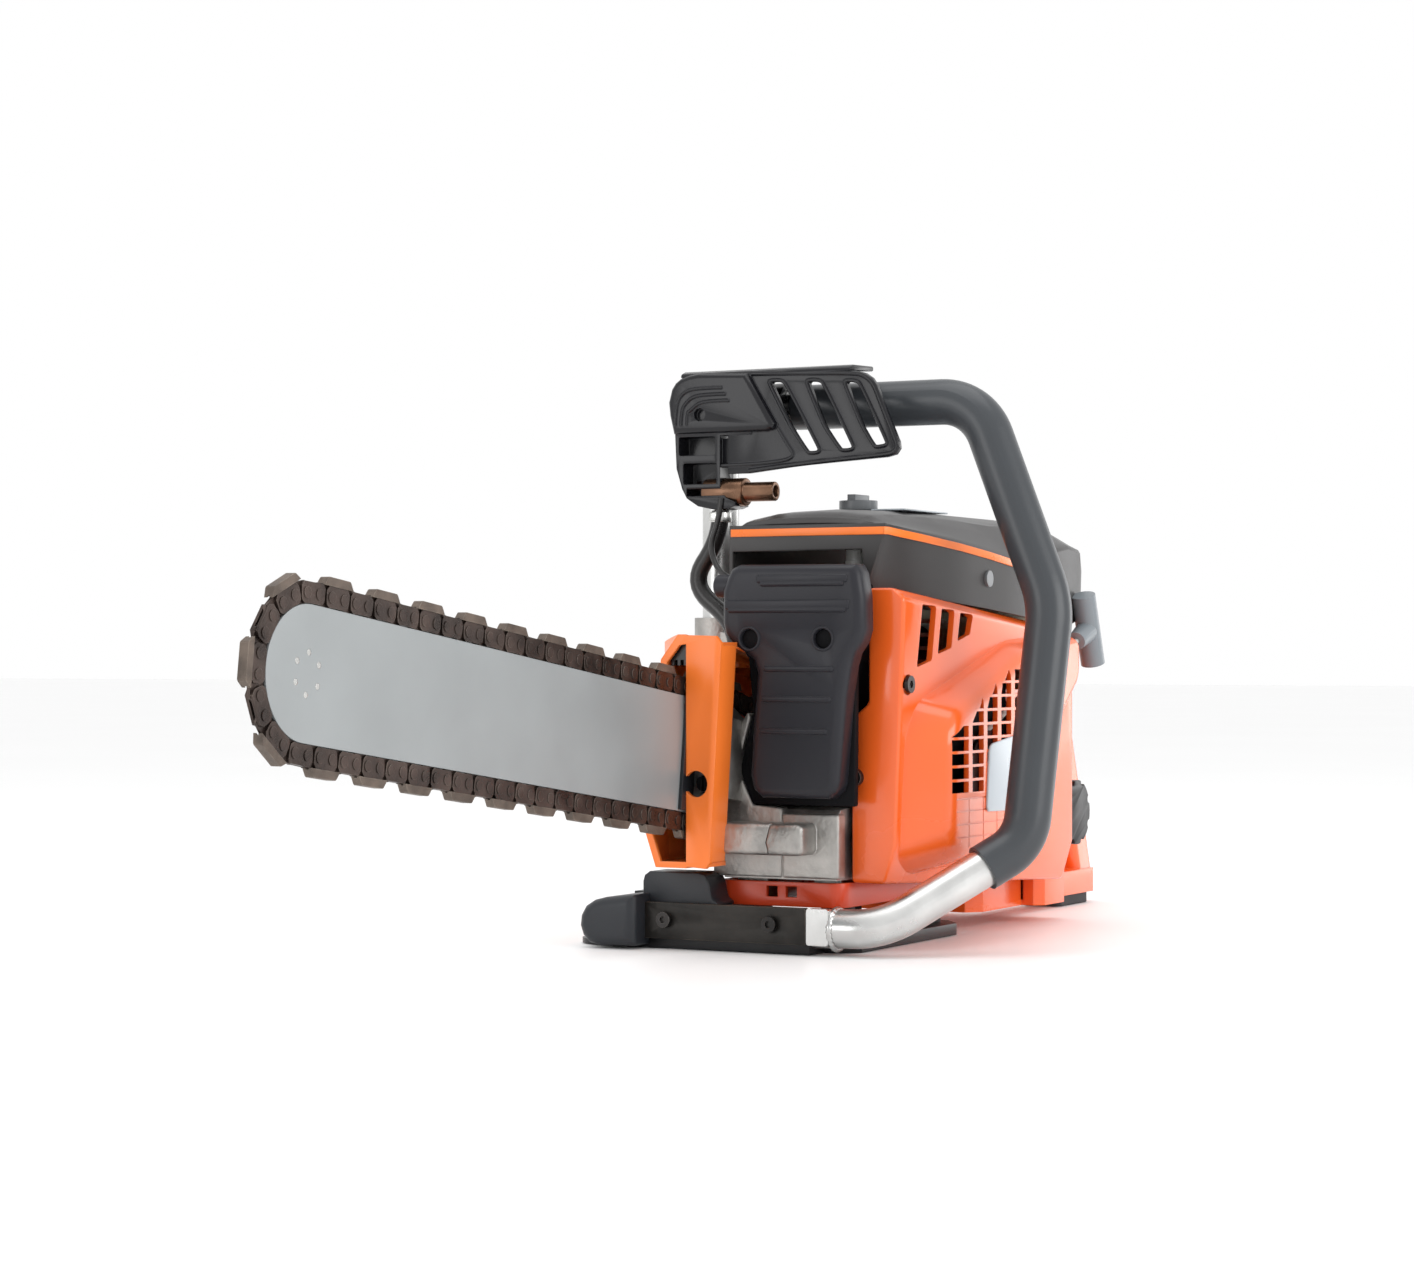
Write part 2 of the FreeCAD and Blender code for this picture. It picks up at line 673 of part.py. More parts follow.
COVER_FRONT = 46.0
COVER_BACK = -248.0
COVER_STATIONS = ((COVER_FRONT, -16, 99, 229, 274.5, 288), (-30, -14.5, 116, 223.15, 266, 288),
                  (-110, -13, 125, 217, 255, 288), (-196, -10, 119, 210.4, 248, 286),
                  (COVER_BACK, -4, 108, 216, 244, 268))


def cover_solid(t):
    runs = []
    for near, far in zip(COVER_STATIONS, COVER_STATIONS[1:]):
        x0 = far[0] + (t if far[0] == COVER_BACK else 0)
        x1 = near[0] - (t if near[0] == COVER_FRONT else 0)
        runs.append(between("x", cover_section(t, *far[1:]), x0, cover_section(t, *near[1:]), x1))
    return join(runs)


def top_cover():
    """The hood over the cylinder and the filter, open below and low at the front."""
    x, z = DECOMP_AT
    shell = cover_solid(0.0).cut(cover_solid(2.6))
    mouth = prism("x", [(-17, 200), (-17, 259), (84, 259), (89, 244), (89, 200)],
                  COVER_FRONT - 4, COVER_FRONT + 1)
    pan = rounded(x - 15, x + 13, 108, 130, z - 8, z + 8, 5, "y")
    pan = pan.cut(rounded(x - 13, x + 11, 110, 131, z - 6, z + 6, 4, "y"))
    pan = pan.common(cover_solid(0.0))
    window = rounded(x - 13, x + 11, 110, 131, z - 6, z + 6, 4, "y")
    guide = rod("y", DECOMP_AT, 7.0, 98, 109)
    shell = join([shell.cut(mouth).cut(window), pan, guide])
    shell = shell.cut(rod("y", DECOMP_AT, 4.0 + SLIDE_GAP, 90, 115))
    return shell.cut(rod("z", KNOB_AT, 5.0 + SLIDE_GAP, 270, 300))


KNOB_AT = (-40.0, 37.0)


def cover_knob():
    """The quarter-turn knob that holds the cover down."""
    head = rod("z", KNOB_AT, 13.0, 288 + MOVE_GAP, 295)
    wing = box(KNOB_AT[0] - 11, KNOB_AT[0] + 11, KNOB_AT[1] - 3, KNOB_AT[1] + 3, 294, 299)
    return join([head, wing, rod("z", KNOB_AT, 5.0, 276, 289)])


def roof_label():
    return rounded(-96, -20, 54, 78, 288 + SEAT_GAP, 288.8, 4)


def cover_stripe():
    """A thin bright band round the front and along the left side."""
    front = box(COVER_FRONT + SEAT_GAP, COVER_FRONT + 0.9, -12, 98.5, 268.5, 273.5)
    bands = []
    for left, low in ((99, 268.5), (116, 260), (123.65, 251)):
        bands.append([(left + SEAT_GAP, low), (left + 0.8, low), (left + 0.8, low + 5),
                      (left + SEAT_GAP, low + 5)])
    side = between("x", bands[1], -30, bands[0], COVER_FRONT)
    back = between("x", bands[2], -98, bands[1], -30)
    return [front, join([side, back])]


# ---- starter side ----
def housing_shell():
    front = [(80, 44), (80, 150), (92, 160), (92, 229.5), (110, 229.5), (118, 223), (112, 70),
             (104, 44)]
    back = [(93, 32), (93, 150), (94, 160), (94, 209.8), (123, 209.8), (130, 203), (130, 60),
            (122, 32)]
    core_front = [(60, 47), (60, 150), (60, 160), (60, 226.5), (109, 226.5), (115, 222), (109, 71),
                  (102, 47)]
    core_back = [(60, 35), (60, 150), (60, 160), (60, 206.8), (122, 206.8), (127, 202), (127, 61),
                 (120, 35)]
    panel = between("x", back, -196, front, 60)
    core = between("x", core_back, -193, core_front, 57)
    base = [(58, 62), (58, 142), (40, 166), (-2, 178), (-96, 212), (-190, 208), (-190, 164),
            (-128, 124), (-128, 50), (34, 48)]
    face = [(39, 72), (39, 140), (25, 152), (-2, 160), (-80, 190), (-182, 203), (-182, 174),
            (-112, 118), (-112, 62), (27, 60)]
    bulge = between("y", base, 104, face, 142)
    base_in = [(54, 64), (54, 140), (38, 163), (-2, 175), (-96, 208), (-186, 205), (-186, 166),
               (-125, 126), (-125, 53), (32, 51)]
    face_in = [(36, 74), (36, 138), (24, 149), (-2, 157), (-80, 187), (-179, 200), (-179, 177),
               (-109, 120), (-109, 64), (26, 63)]
    bulge_in = between("y", base_in, 100, face_in, 139)
    return join([panel, bulge]), join([core, bulge_in])


HOUSING_BOSSES = ((18.0, 60.0), (-80.0, 60.0), (-80.0, 156.0))
SLOTS = (((37, 223), (17, 222), (21, 187), (40, 183)),
         ((8, 221), (-9, 220), (-6, 195), (11, 190)),
         ((-18, 218), (-35, 217), (-33, 204), (-18, 200)))


def starter_housing():
    outer, inner = housing_shell()
    shell = outer.cut(inner)
    for slot in SLOTS:
        shell = shell.cut(prism("y", slot, 100, 135))
    for i in range(7):
        z = 84 + i * 10.5
        right = min(28, 60 - (z - 132) * 0.9) if z > 132 else 28
        shell = shell.cut(box(-76, right, 136, 145, z, z + 7))
    for x in (-68, -50, -32, -14, 4, 22):
        bar = box(x - 1.5, x + 1.5, 139.0, 142, 82, 160)
        shell = shell.fuse(bar.common(outer))
    screw = rod("y", (51, 172), 2.65, 108, 130).fuse(rod("y", (51, 172), 6.0, 116.6, 130))
    shell = shell.cut(screw).cut(rod("x", (84, 112), 2.65, 50, 62))
    guide = rod_between(ROPE_GUIDE, ROPE_WAY, ROPE_R + 1.0, -30, 30)
    bosses = [rod("y", at, 6.0, CASE_LEFT + SEAT_GAP, 125).common(outer) for at in HOUSING_BOSSES]
    return join([shell.cut(guide), starter_post()] + bosses)


ROPE_GUIDE = (-193.0, 131.0, 198.0)


def rope_way():
    """The direction from the pulley's tangent point to the guide, and that point."""
    gx, gz = ROPE_GUIDE[0] - CRANK_X, ROPE_GUIDE[2] - CRANK_Z
    far = math.hypot(gx, gz)
    turn = math.atan2(gz, gx) - math.acos(PULLEY_R / far)
    point = V(CRANK_X + PULLEY_R * math.cos(turn), ROPE_GUIDE[1], CRANK_Z + PULLEY_R * math.sin(turn))
    return (V(*ROPE_GUIDE) - point).normalize(), point


ROPE_WAY, ROPE_START = rope_way()


def rod_between(point, way, r, start, end):
    base = V(*point) + way * start
    return Part.makeCylinder(r, end - start, base, way)


def starter_pulley():
    y = ROPE_GUIDE[1]
    centre = (CRANK_X, CRANK_Z)
    shape = join([rod("y", centre, PULLEY_R - ROPE_R - 0.4, y - 5, y + 5),
                  rod("y", centre, PULLEY_R + 6, y - 7, y - 4.5),
                  rod("y", centre, PULLEY_R + 6, y + 4.5, y + 7)])
    return shape.cut(rod("y", centre, 6.0 + SLIDE_GAP, y - 10, y + 10))


def starter_post():
    """The post the pulley turns on, and the housing of its spring."""
    centre = (CRANK_X, CRANK_Z)
    y = ROPE_GUIDE[1]
    return join([rod("y", centre, 6.0, y - 13.5, 140), rod("y", centre, 9.0, y + 7.4, 140)])


def recoil_spring():
    y = ROPE_GUIDE[1] - 12.4
    rings = []
    for i in range(5):
        rings.append(ring("y", (CRANK_X, CRANK_Z), 26 - i * 3.2, 24.6 - i * 3.2, y, y + 5))
    spoke = Part.makeBox(14, 5, 1.5, V(CRANK_X + 11.6, y, CRANK_Z))
    return join(rings + [spoke])


def starter_rope():
    length = (V(*ROPE_GUIDE) - ROPE_START).Length
    run = rod_between(tuple(ROPE_START), ROPE_WAY, ROPE_R, 0, length + 19.5)
    print("rope: one straight run of", round(length + 19.5, 1), "mm, no bends")
    return run


def starter_handle():
    """The pull grip across the rope's end."""
    length = (V(*ROPE_GUIDE) - ROPE_START).Length
    across = V(0, 1, 0).cross(ROPE_WAY)
    grip_at = V(*ROPE_GUIDE) + ROPE_WAY * 30
    grip = Part.makeCylinder(8.5, 52, grip_at - across * 26, across)
    stem = Part.makeCone(6.5, 8.0, 20, V(*ROPE_GUIDE) + ROPE_WAY * 6, ROPE_WAY)
    body = join([grip, stem])
    hole = rod_between(tuple(ROPE_START), ROPE_WAY, ROPE_R + SEAT_GAP, length - 5, length + 20)
    return body.cut(hole)


def starter_badge():
    plate = [(-30, 94), (-31, 128), (-36, 133), (-74, 140), (-78, 136), (-78, 92), (-74, 88), (-36, 90)]
    return prism("y", plate, 142 + SEAT_GAP, 143.5)


def housing_screws():
    side = join([rod("y", (51, 172), 5.6, 116.62, 119), rod("y", (51, 172), 2.6, 104, 117)])
    side = side.cut(prism("y", [(51 + a * 0.3, 172 + b * 0.3) for a, b in hexagon(9)], 117.5, 120))
    front = join([rod("x", (84, 112), 5.5, 60 + SEAT_GAP, 65), rod("x", (84, 112), 2.6, 50, 61)])
    front = front.cut(prism("x", [(84 + a * 0.3, 112 + b * 0.3) for a, b in hexagon(9)], 63, 66))
    return [side, front]


# ---- chain guard ----
GUARD_LINE = [(118, 54), (118, 204), (60, 197), (-30, 178), (-84, 156), (-104, 112), (-94, 72),
              (-56, 52)]
GUARD_INNER = [(115, 57), (115, 200.6), (60, 194), (-29, 175), (-82, 153.6), (-101, 112),
               (-91.5, 73.6), (-55, 55)]


GUARD_TAPER = 80.0   # the outer wall leans in from here to the front


def guard_room(t):
    """The space the guard's outer wall may fill, drawn t inside its outer face."""
    back = [(10, 30), (GUARD_OUT + t, 30), (GUARD_OUT + t, 77), (GUARD_OUT + t, 188),
            (GUARD_OUT + t, 230), (10, 230)]
    front = [(10, 30), (-22.6 + t, 30), (-39 + t, 77), (-27 + t, 188), (7 + t, 230), (10 + t, 230)]
    nose = between("x", back, GUARD_TAPER, front, GUARD_FRONT + 1)
    return join([box(-110, GUARD_TAPER, GUARD_OUT + t, 10, 30, 230), nose])


def bar_guard():
    """The clutch and chain cover, with its front wall round the bar."""
    shell = prism("y", GUARD_LINE, GUARD_OUT, GUARD_IN).common(guard_room(0))
    hollow = prism("y", GUARD_INNER, GUARD_OUT + GUARD_WALL, GUARD_IN + 1)
    shell = shell.cut(hollow.common(guard_room(GUARD_WALL)))
    mouth = prism("x", [(GUARD_IN + 1, 58), (-28, 58), (-35, 79), (-23, 186), (-14, 197),
                        (GUARD_IN + 1, 198)], 110, GUARD_FRONT + 2)
    shell = shell.cut(mouth)
    band = prism("x", [(GUARD_IN, 55), (GUARD_IN, 203.5), (12, 203), (16.5, 198), (8, 58), (5, 54)],
                 114, GUARD_FRONT)
    side = prism("x", [(13, 197), (16.5, 197), (8, 58), (4.5, 58)], 97, 115)
    lid = box(93, 115, GUARD_IN, 15, 196, 199)
    floor = box(93, 115, GUARD_IN, 6.5, 55, 58)
    ribs = []
    for z, reach in ((84, 7.5), (134, 10.5), (160, 12)):
        ribs.append(box(98, 114, GUARD_IN + 2, reach, z, z + 2.5))
    water_boss = rod("z", (WATER_X, -28), 9.0, 182, 196 - SEAT_GAP)
    shell = join([shell, band, side, lid, floor, water_boss] + ribs)
    x, z = tension_screw_place()
    shell = shell.cut(rod("x", (-2.0, z), 8.5, 112, 120))
    for u in STUD_U:
        shell = shell.cut(at_bar(rod("y", (u, 0), STUD_R + 0.3, GUARD_OUT - 1, GUARD_OUT + 5)))
    return shell


def bar_guide_strip():
    """The wear strip beside the bar's root."""
    strip = box(137, 152, BAR_Y + BAR_T / 2 + 0.3, GUARD_IN - SEAT_GAP, -36, 38)
    return at_bar(strip)


def spray_flap():
    """The toothed rubber flap in the top of the guard's mouth."""
    teeth = [prism("x", [(-23, 189), (-17, 196.5), (GUARD_IN - 0.3, 199.4), (GUARD_IN - 0.3, 187.5),
                         (-22.5, 187.5)], 107, 113.5)]
    for i in range(3):
        teeth.append(box(107, 113.5, -22.4 + i * 4.6, -20.1 + i * 4.6, 184, 188))
    return join(teeth)


# ---- base ----
def skid_plate():
    """The plate the machine stands on, with a raised rim along its right side."""
    plate = prism("z", [(94.98, -60), (94.98, 0), (74, 4), (74, 78), (64, 90), (-84, 90), (-101, 76),
                        (-101, -84), (-84, -100), (70, -100), (88, -88)], 0, SKID_T)
    rim = rounded(-101, 97, -109, -56, 0, 29, 24)
    rim = rim.cut(rounded(-92, 88, -101, -40, SKID_T, 40, 18))
    beam = box(74, WEAR_X - SEAT_GAP, -1, 68, 0, 27)
    return join([plate, rim, beam]).cut(rod("x", (43, 19), 3.0 + SEAT_GAP, 80, 96))


def guard_foot():
    low = box(71, WEAR_X - SEAT_GAP, -54, -2, SKID_T + SEAT_GAP, 46)
    slope = prism("y", [(71, 46), (WEAR_X - SEAT_GAP, 46), (92, 53.2), (73, 53.2)], -48, -8)
    hole_a = rod("x", (-34, 19), 3.0 + SEAT_GAP, 80, 96)
    return join([low, slope]).cut(hole_a)


WEAR_SCREW_Y = (-34.0, 43.0)


def wear_plate():
    plate = rounded(WEAR_X, WEAR_X + WEAR_T, -52, 68, 6.5, 30, 2, "x")
    for y in WEAR_SCREW_Y:
        plate = plate.cut(rod("x", (y, 19), 3.0 + SEAT_GAP, 90, 110))
    return plate


def wear_plate_screws():
    solids = []
    for y in WEAR_SCREW_Y:
        face = WEAR_X + WEAR_T
        screw = join([rod("x", (y, 19), 3.0, 84, face + 1),
                      rod("x", (y, 19), 5.0, face + SEAT_GAP, face + 3.4)])
        socket = [(y + a * 0.28, 19 + b * 0.28) for a, b in hexagon(9)]
        solids.append(screw.cut(prism("x", socket, face + 1.4, face + 4)))
    return solids


def base_tray():
    """The tray the engine stands in."""
    outer = rounded(-108, 70, -12, 79, TRAY_Z, 44, 10)
    inner = rounded(-104, 66, -8, 76, 32, 50, 7)
    tray = outer.cut(inner)
    for x in (24, 38):
        tray = tray.cut(box(64, 72, x, x + 8, 34, 41))
    return tray


def tray_mounts():
    solids = []
    for x in (-84, 50):
        for y in (6, 66):
            solids.append(rod("z", (x, y), 11.0, SKID_T + SEAT_GAP, TRAY_Z - SEAT_GAP))
    return solids


# ---- tank and rear handle ----
def tank_outline(t):
    return [(-120 - t, t), (-120 - t, 80 - t), (-131, 88.9 - t), (-199 + t, 88.9 - t),
            (-199 - t, 98 - t), (-206, 104 - t), (-242, 104 - t), (-250 + t, 96 - t),
            (-250 + t, t), (-238, -12 + t), (-132, -12 + t)]


def fuel_tank():
    """The tank with the rear handle moulded on it as a closed loop."""
    body = prism("z", tank_outline(0), 12, 158)
    hollow = prism("z", tank_outline(3.5), 16, 154)
    column = between("z", [(-414, 30), (-380, 30), (-380, 60), (-414, 60)], 14,
                     [(-347, 31), (-313, 31), (-313, 59), (-347, 59)], 204)
    column = column.makeFillet(8, [e for e in column.Edges if abs(e.Length - 201) < 6])
    foot = rounded(-408, -236, 27, 63, 8, 26, 8)
    arm = rounded(-345, -230, 31, 59, 176, 206, 9, "x")
    neck = rounded(-252, -214, 20, 70, 140, 206, 10)
    filler = rod("y", FILLER_AT, 22.0, 96, 112)
    shape = join([body, column, foot, arm, neck, filler]).cut(hollow)
    shape = shape.cut(rod("y", FILLER_AT, 17.0, 90, 114))
    shape = shape.cut(trigger_pocket()).cut(lockout_pocket())
    for x, z in (TRIGGER_PIVOT, LOCKOUT_PIVOT):
        shape = shape.cut(rod("y", (x, z), 2.0 + SEAT_GAP, GRIP_Y - 8, GRIP_Y + 8))
    shape = shape.cut(rod("z", STOP_AT, 5.0 + SLIDE_GAP, 190, 210))
    return shape


def column_x(z):
    """The column's front face at a height."""
    return -380 + (z - 14) * 67 / 190


def trigger_pocket():
    x, z = TRIGGER_PIVOT
    return box(x - 13, x + 40, GRIP_Y - 6, GRIP_Y + 6, z - 42, z + 8)


def lockout_pocket():
    x, z = LOCKOUT_PIVOT
    return box(x - 34, x + 6, GRIP_Y - 5, GRIP_Y + 5, z - 46, z + 7)


TRIGGER_PIVOT = (column_x(160) - 9, 160.0)
LOCKOUT_PIVOT = (column_x(150) - 26, 150.0)


def throttle_trigger():
    """A finger lever on the grip's front, hung from a pin at its top."""
    x, z = TRIGGER_PIVOT
    outline = [(x - 5, z + 5), (x + 6, z + 5), (x + 14, z - 8), (x + 11, z - 22), (x + 6, z - 36),
               (x + 0, z - 38), (x - 2, z - 20)]
    lever = prism("y", outline, GRIP_Y - 5.5, GRIP_Y + 5.5)
    return lever.cut(rod("y", (x, z), 2.0 + SLIDE_GAP, GRIP_Y - 7, GRIP_Y + 7))


def throttle_lockout():
    """A palm lever on the grip's back."""
    x, z = LOCKOUT_PIVOT
    outline = [(x + 4.5, z + 4.5), (x - 5, z + 4.5), (x - 18, z - 12), (x - 25, z - 38),
               (x - 16, z - 40), (x - 4, z - 20)]
    lever = prism("y", outline, GRIP_Y - 4.5, GRIP_Y + 4.5)
    return lever.cut(rod("y", (x, z), 2.0 + SLIDE_GAP, GRIP_Y - 7, GRIP_Y + 7))


def lever_pins():
    solids = []
    for x, z in (TRIGGER_PIVOT, LOCKOUT_PIVOT):
        solids.append(rod("y", (x, z), 2.0, GRIP_Y - 8, GRIP_Y + 8))
    return solids


STOP_AT = (-286.0, 45.0)


def stop_switch():
    return join([rod("z", STOP_AT, 5.0, 194, 208), rod("z", STOP_AT, 9.0, 208.5, 213)])


def fuel_cap():
    cap = join([rod("y", FILLER_AT, 17.0 - SLIDE_GAP, 101, 113),
                rod("y", FILLER_AT, 23.0, 112 + MOVE_GAP, 122)])
    for i in range(8):
        notch = rod("y", (23.5, 0), 3.0, 111, 124)
        notch.rotate(V(0, 0, 0), V(0, 1, 0), 45 * i + 22)
        cap = cap.cut(notch.translated(V(FILLER_AT[0], 0, FILLER_AT[1])))
    return cap


def rear_feet():
    return [rounded(-400, -340, 30, 60, 0, 8 - SEAT_GAP, 6)]


# ---- front handle ----
HANDLE_POINTS = [(88.5, 69, 16.5), (88, 116, 17.5), (19, 184, 71), (-14, 188, 224),
                 (HANDLE_X, 134, HANDLE_TOP), (HANDLE_X, HANDLE_RIGHT, HANDLE_TOP),
                 (HANDLE_X, HANDLE_RIGHT, 196)]
HANDLE_BENDS = [42, 34, 70, 38, 36]


def handle_path():
    return centreline(HANDLE_POINTS, HANDLE_BENDS)


def front_handle():
    path = handle_path()
    pipe = tube(path, TUBE_R).cut(tube(path, TUBE_R - TUBE_WALL))
    plate = rounded(WEAR_X, WEAR_X + 6, 68.4, 84, 6.5, 30, 2, "x")
    return join([pipe, plate.cut(tube(path, TUBE_R - TUBE_WALL / 2))])


def handle_sleeve():
    """The rubber over the handle's side and top."""
    points = list(HANDLE_POINTS)
    start = V(*points[1]) + (V(*points[2]) - V(*points[1])) * 0.70
    sleeve_points = [tuple(start)] + points[2:5] + [(HANDLE_X, 2, HANDLE_TOP)]
    path = centreline(sleeve_points, HANDLE_BENDS[1:4])
    outer = tube(path, TUBE_R + SLEEVE_T)
    return outer.cut(tube(handle_path(), TUBE_R + SEAT_GAP))


def handle_bracket():
    """The cast lug that carries the handle's right end."""
    cup = rod("z", (HANDLE_X, HANDLE_RIGHT), 18.0, 188, 216)
    arm = box(-36, -4, HANDLE_RIGHT + 8, -24, 188, 206)
    leg = prism("x", [(-30, 188), (-30, 206), (3, 206), (3, DECK_Z + SEAT_GAP),
                      (-8, DECK_Z + SEAT_GAP), (-8, 188)], -36, -4)
    socket = rod("z", (HANDLE_X, HANDLE_RIGHT), TUBE_R + SEAT_GAP, 196 - SEAT_GAP, 220)
    return join([cup, arm, leg]).cut(socket)


def hand_guard():
    """The shield before the top of the handle, with three slanted slots."""
    plate = prism("x", [(-30, 311), (-26, 380), (72, 376), (82, 368), (97, 332), (95, 322),
                        (88, 318), (22, 316)], 18, 23)
    for k in range(3):
        y = 4 + 24 * k
        plate = plate.cut(prism("x", [(y + 1, 370), (y + 15, 369), (y + 27, 330), (y + 24, 324),
                                      (y + 17, 324), (y + 13, 330)], 10, 30))
    roof = prism("y", [(23, 375), (23, 381), (-12, 383), (-12, 378)], -76, 62)
    shield = prism("x", [(-76, 330), (-74, 376), (-68, 381), (-26, 381), (-26, 300), (-40, 292),
                         (-60, 294), (-68, 302)], 17, 23)
    left = prism("x", [(-76, 330), (-74, 376), (-72, 378), (-72, 330), (-64, 304), (-68, 302)],
                 -34, 18)
    left = left.cut(box(-40, -6, -80, -40, 290, 344))
    ribs = []
    for z in (318, 334, 368):
        ribs.append(box(-4, 18, -72, -28, z, z + 4))
    back = box(-6, -2, -72, -28, 318, 372)
    back = back.cut(box(-10, 0, -74, -26, 338, 366))
    clamp = box(-36, 18, -44, -30, 374, 382)
    shape = join([plate, roof, shield, left, clamp] + ribs)
    strap = rod("y", (HANDLE_X, HANDLE_TOP), TUBE_R + 4.5, -20, -4)
    lug = box(HANDLE_X, 19, -20, -4, HANDLE_TOP - 8, HANDLE_TOP + 8)
    shape = join([shape, strap, lug]).cut(tube(handle_path(), TUBE_R + SEAT_GAP))
    shape = shape.cut(rod("y", (WATER_X, WATER_Z), 9.5 + SEAT_GAP, -60, -19))
    shape = shape.cut(rod("z", (WATER_X, HOSE_Y), 7.5 + SEAT_GAP, 280, WATER_Z))
    shape = shape.cut(rod("x", GUARD_SCREW, 4.2, 10, 30))
    return shape


GUARD_SCREW = (-49.0, 352.0)


def guard_screw():
    head = rod("x", GUARD_SCREW, 4.1, 14, 21)
    head = head.cut(prism("x", [(GUARD_SCREW[0] + a * 0.25, GUARD_SCREW[1] + b * 0.25)
                                for a, b in hexagon(9)], 19, 22))
    return [head]


# ---- water ----


def water_inlet():
    body = rod("y", (WATER_X, WATER_Z), 9.5, -50, -20)
    nipple = rod("y", (WATER_X, WATER_Z), NIPPLE_R, -21, -20 + NIPPLE_LENGTH)
    down = rod("z", (WATER_X, HOSE_Y), 4.0, 280, WATER_Z)
    neck = rod("z", (WATER_X, HOSE_Y), 7.5, 289, WATER_Z)
    bore = rod("y", (WATER_X, WATER_Z), 3.6, -44, 10)
    return join([body, nipple, down, neck]).cut(bore)


HOSE_BEND = 28.5


def water_hose():
    """A short hose bowed outwards between the inlet and the guard."""
    points = [(WATER_X, HOSE_Y, 288), (WATER_X, HOSE_Y, 269.6), (WATER_X, -64.2, 238.2),
              (WATER_X, -28, 212), (WATER_X, -28, 196)]
    path = centreline(points, [HOSE_BEND] * 3)
    print("water hose: 3 bends of radius", HOSE_BEND, "mm")
    hose = tube(path, HOSE_R)
    print("water hose: volume", round(hose.Volume), "section x length",
          round(math.pi * HOSE_R ** 2 * path.Length), "length", round(path.Length, 1))
    return hose.cut(rod("z", (WATER_X, HOSE_Y), 4.0 + SEAT_GAP, 279.9, 300))


def hose_clamp():
    band = ring("z", (WATER_X, HOSE_Y), HOSE_R + 1.6, HOSE_R + SEAT_GAP, 280, 287)
    ear = box(WATER_X + 6, WATER_X + 11, HOSE_Y - 3, HOSE_Y + 3, 281, 286)
    return join([band, ear.cut(rod("z", (WATER_X, HOSE_Y), HOSE_R + 0.5, 270, 300))])


# ---- write the parts ----
save("crankcase_right", crankcase_right())
save("crankcase_left", crankcase_left())
save("cylinder", cylinder())
save("piston", piston())
save("spark_plug", spark_plug())
save("intake_boot", intake_boot())
save("carburettor", carburettor())
save("air_filter", air_filter())
save("crankshaft", crankshaft())
save("crank_bearings", crank_bearings())
save("flywheel", flywheel())
save("clutch_drum", clutch_drum())
save("clutch_hub", clutch_hub())
save("clutch_shoes", clutch_shoes())
save("clutch_spring", clutch_spring())
save("drive_sprocket", drive_sprocket())
save("muffler_body", muffler_body())
save("muffler_cover", muffler_cover())
save("top_cover", top_cover())
save("cover_stripe", cover_stripe())
save("cover_knob", cover_knob())
save("decompression_valve", decompression_valve())
save("starter_housing", starter_housing())
save("label_plates", [roof_label(), starter_badge()])
save("starter_pulley", starter_pulley())
save("recoil_spring", recoil_spring())
save("starter_rope", starter_rope())
save("starter_handle", starter_handle())
save("guide_bar", guide_bar())
save("nose_sprocket", nose_sprocket())
save("nose_rivets", nose_rivets())
save("chain_tie_straps", chain_straps())
save("chain_drive_links", chain_drive_links())
save("chain_rivets", chain_rivets())
save("chain_segments", chain_segments())
save("bar_studs", bar_studs())
save("bar_nuts", bar_nuts())
save("chain_tensioner", chain_tensioner())
save("bar_guard", bar_guard())
save("bar_guide_strip", bar_guide_strip())
save("spray_flap", spray_flap())
save("skid_plate", skid_plate())
save("guard_foot", guard_foot())
save("wear_plate", wear_plate())
save("cover_screws", muffler_screws() + housing_screws() + wear_plate_screws() + guard_screw())
save("base_tray", base_tray())
save("rubber_mounts", tray_mounts() + rear_feet())
save("fuel_tank", fuel_tank())
save("fuel_cap", fuel_cap())
save("throttle_trigger", throttle_trigger())
save("throttle_lockout", throttle_lockout())
save("lever_pins", lever_pins())
save("stop_switch", stop_switch())
save("front_handle", front_handle())
save("handle_sleeve", handle_sleeve())
save("handle_bracket", handle_bracket())
save("hand_guard", hand_guard())
save("water_inlet", water_inlet())
save("water_hose", water_hose())
save("hose_clamp", hose_clamp())
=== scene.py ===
import bpy
import math
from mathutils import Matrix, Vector


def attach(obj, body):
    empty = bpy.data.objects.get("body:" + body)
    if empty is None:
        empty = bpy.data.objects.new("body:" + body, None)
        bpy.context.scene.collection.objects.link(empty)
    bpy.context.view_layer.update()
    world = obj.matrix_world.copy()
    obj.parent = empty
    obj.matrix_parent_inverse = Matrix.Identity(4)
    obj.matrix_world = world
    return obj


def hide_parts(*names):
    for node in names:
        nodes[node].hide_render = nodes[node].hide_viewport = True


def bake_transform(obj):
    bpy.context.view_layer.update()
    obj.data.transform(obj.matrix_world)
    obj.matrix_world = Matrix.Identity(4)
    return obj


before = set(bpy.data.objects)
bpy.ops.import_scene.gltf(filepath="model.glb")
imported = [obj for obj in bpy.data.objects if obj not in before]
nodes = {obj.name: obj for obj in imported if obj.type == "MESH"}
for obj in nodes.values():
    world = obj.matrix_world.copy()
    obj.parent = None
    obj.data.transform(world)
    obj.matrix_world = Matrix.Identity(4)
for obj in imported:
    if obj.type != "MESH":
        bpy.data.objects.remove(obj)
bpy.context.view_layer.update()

# ---- Studio ----
# A plain pale floor under soft lamps, and a long lens that looks level from the
# cutter's front left corner.
bpy.context.scene.view_settings.view_transform = "Standard"
lens = bpy.data.cameras.new("camera")
lens.lens = 81.5
lens.sensor_width = 36.0
lens.shift_y = 0.0088
lens.clip_end = 50.0
camera = bpy.data.objects.new("camera", lens)
bpy.context.scene.collection.objects.link(camera)
camera.location = (1.913, 0.985, 0.194)
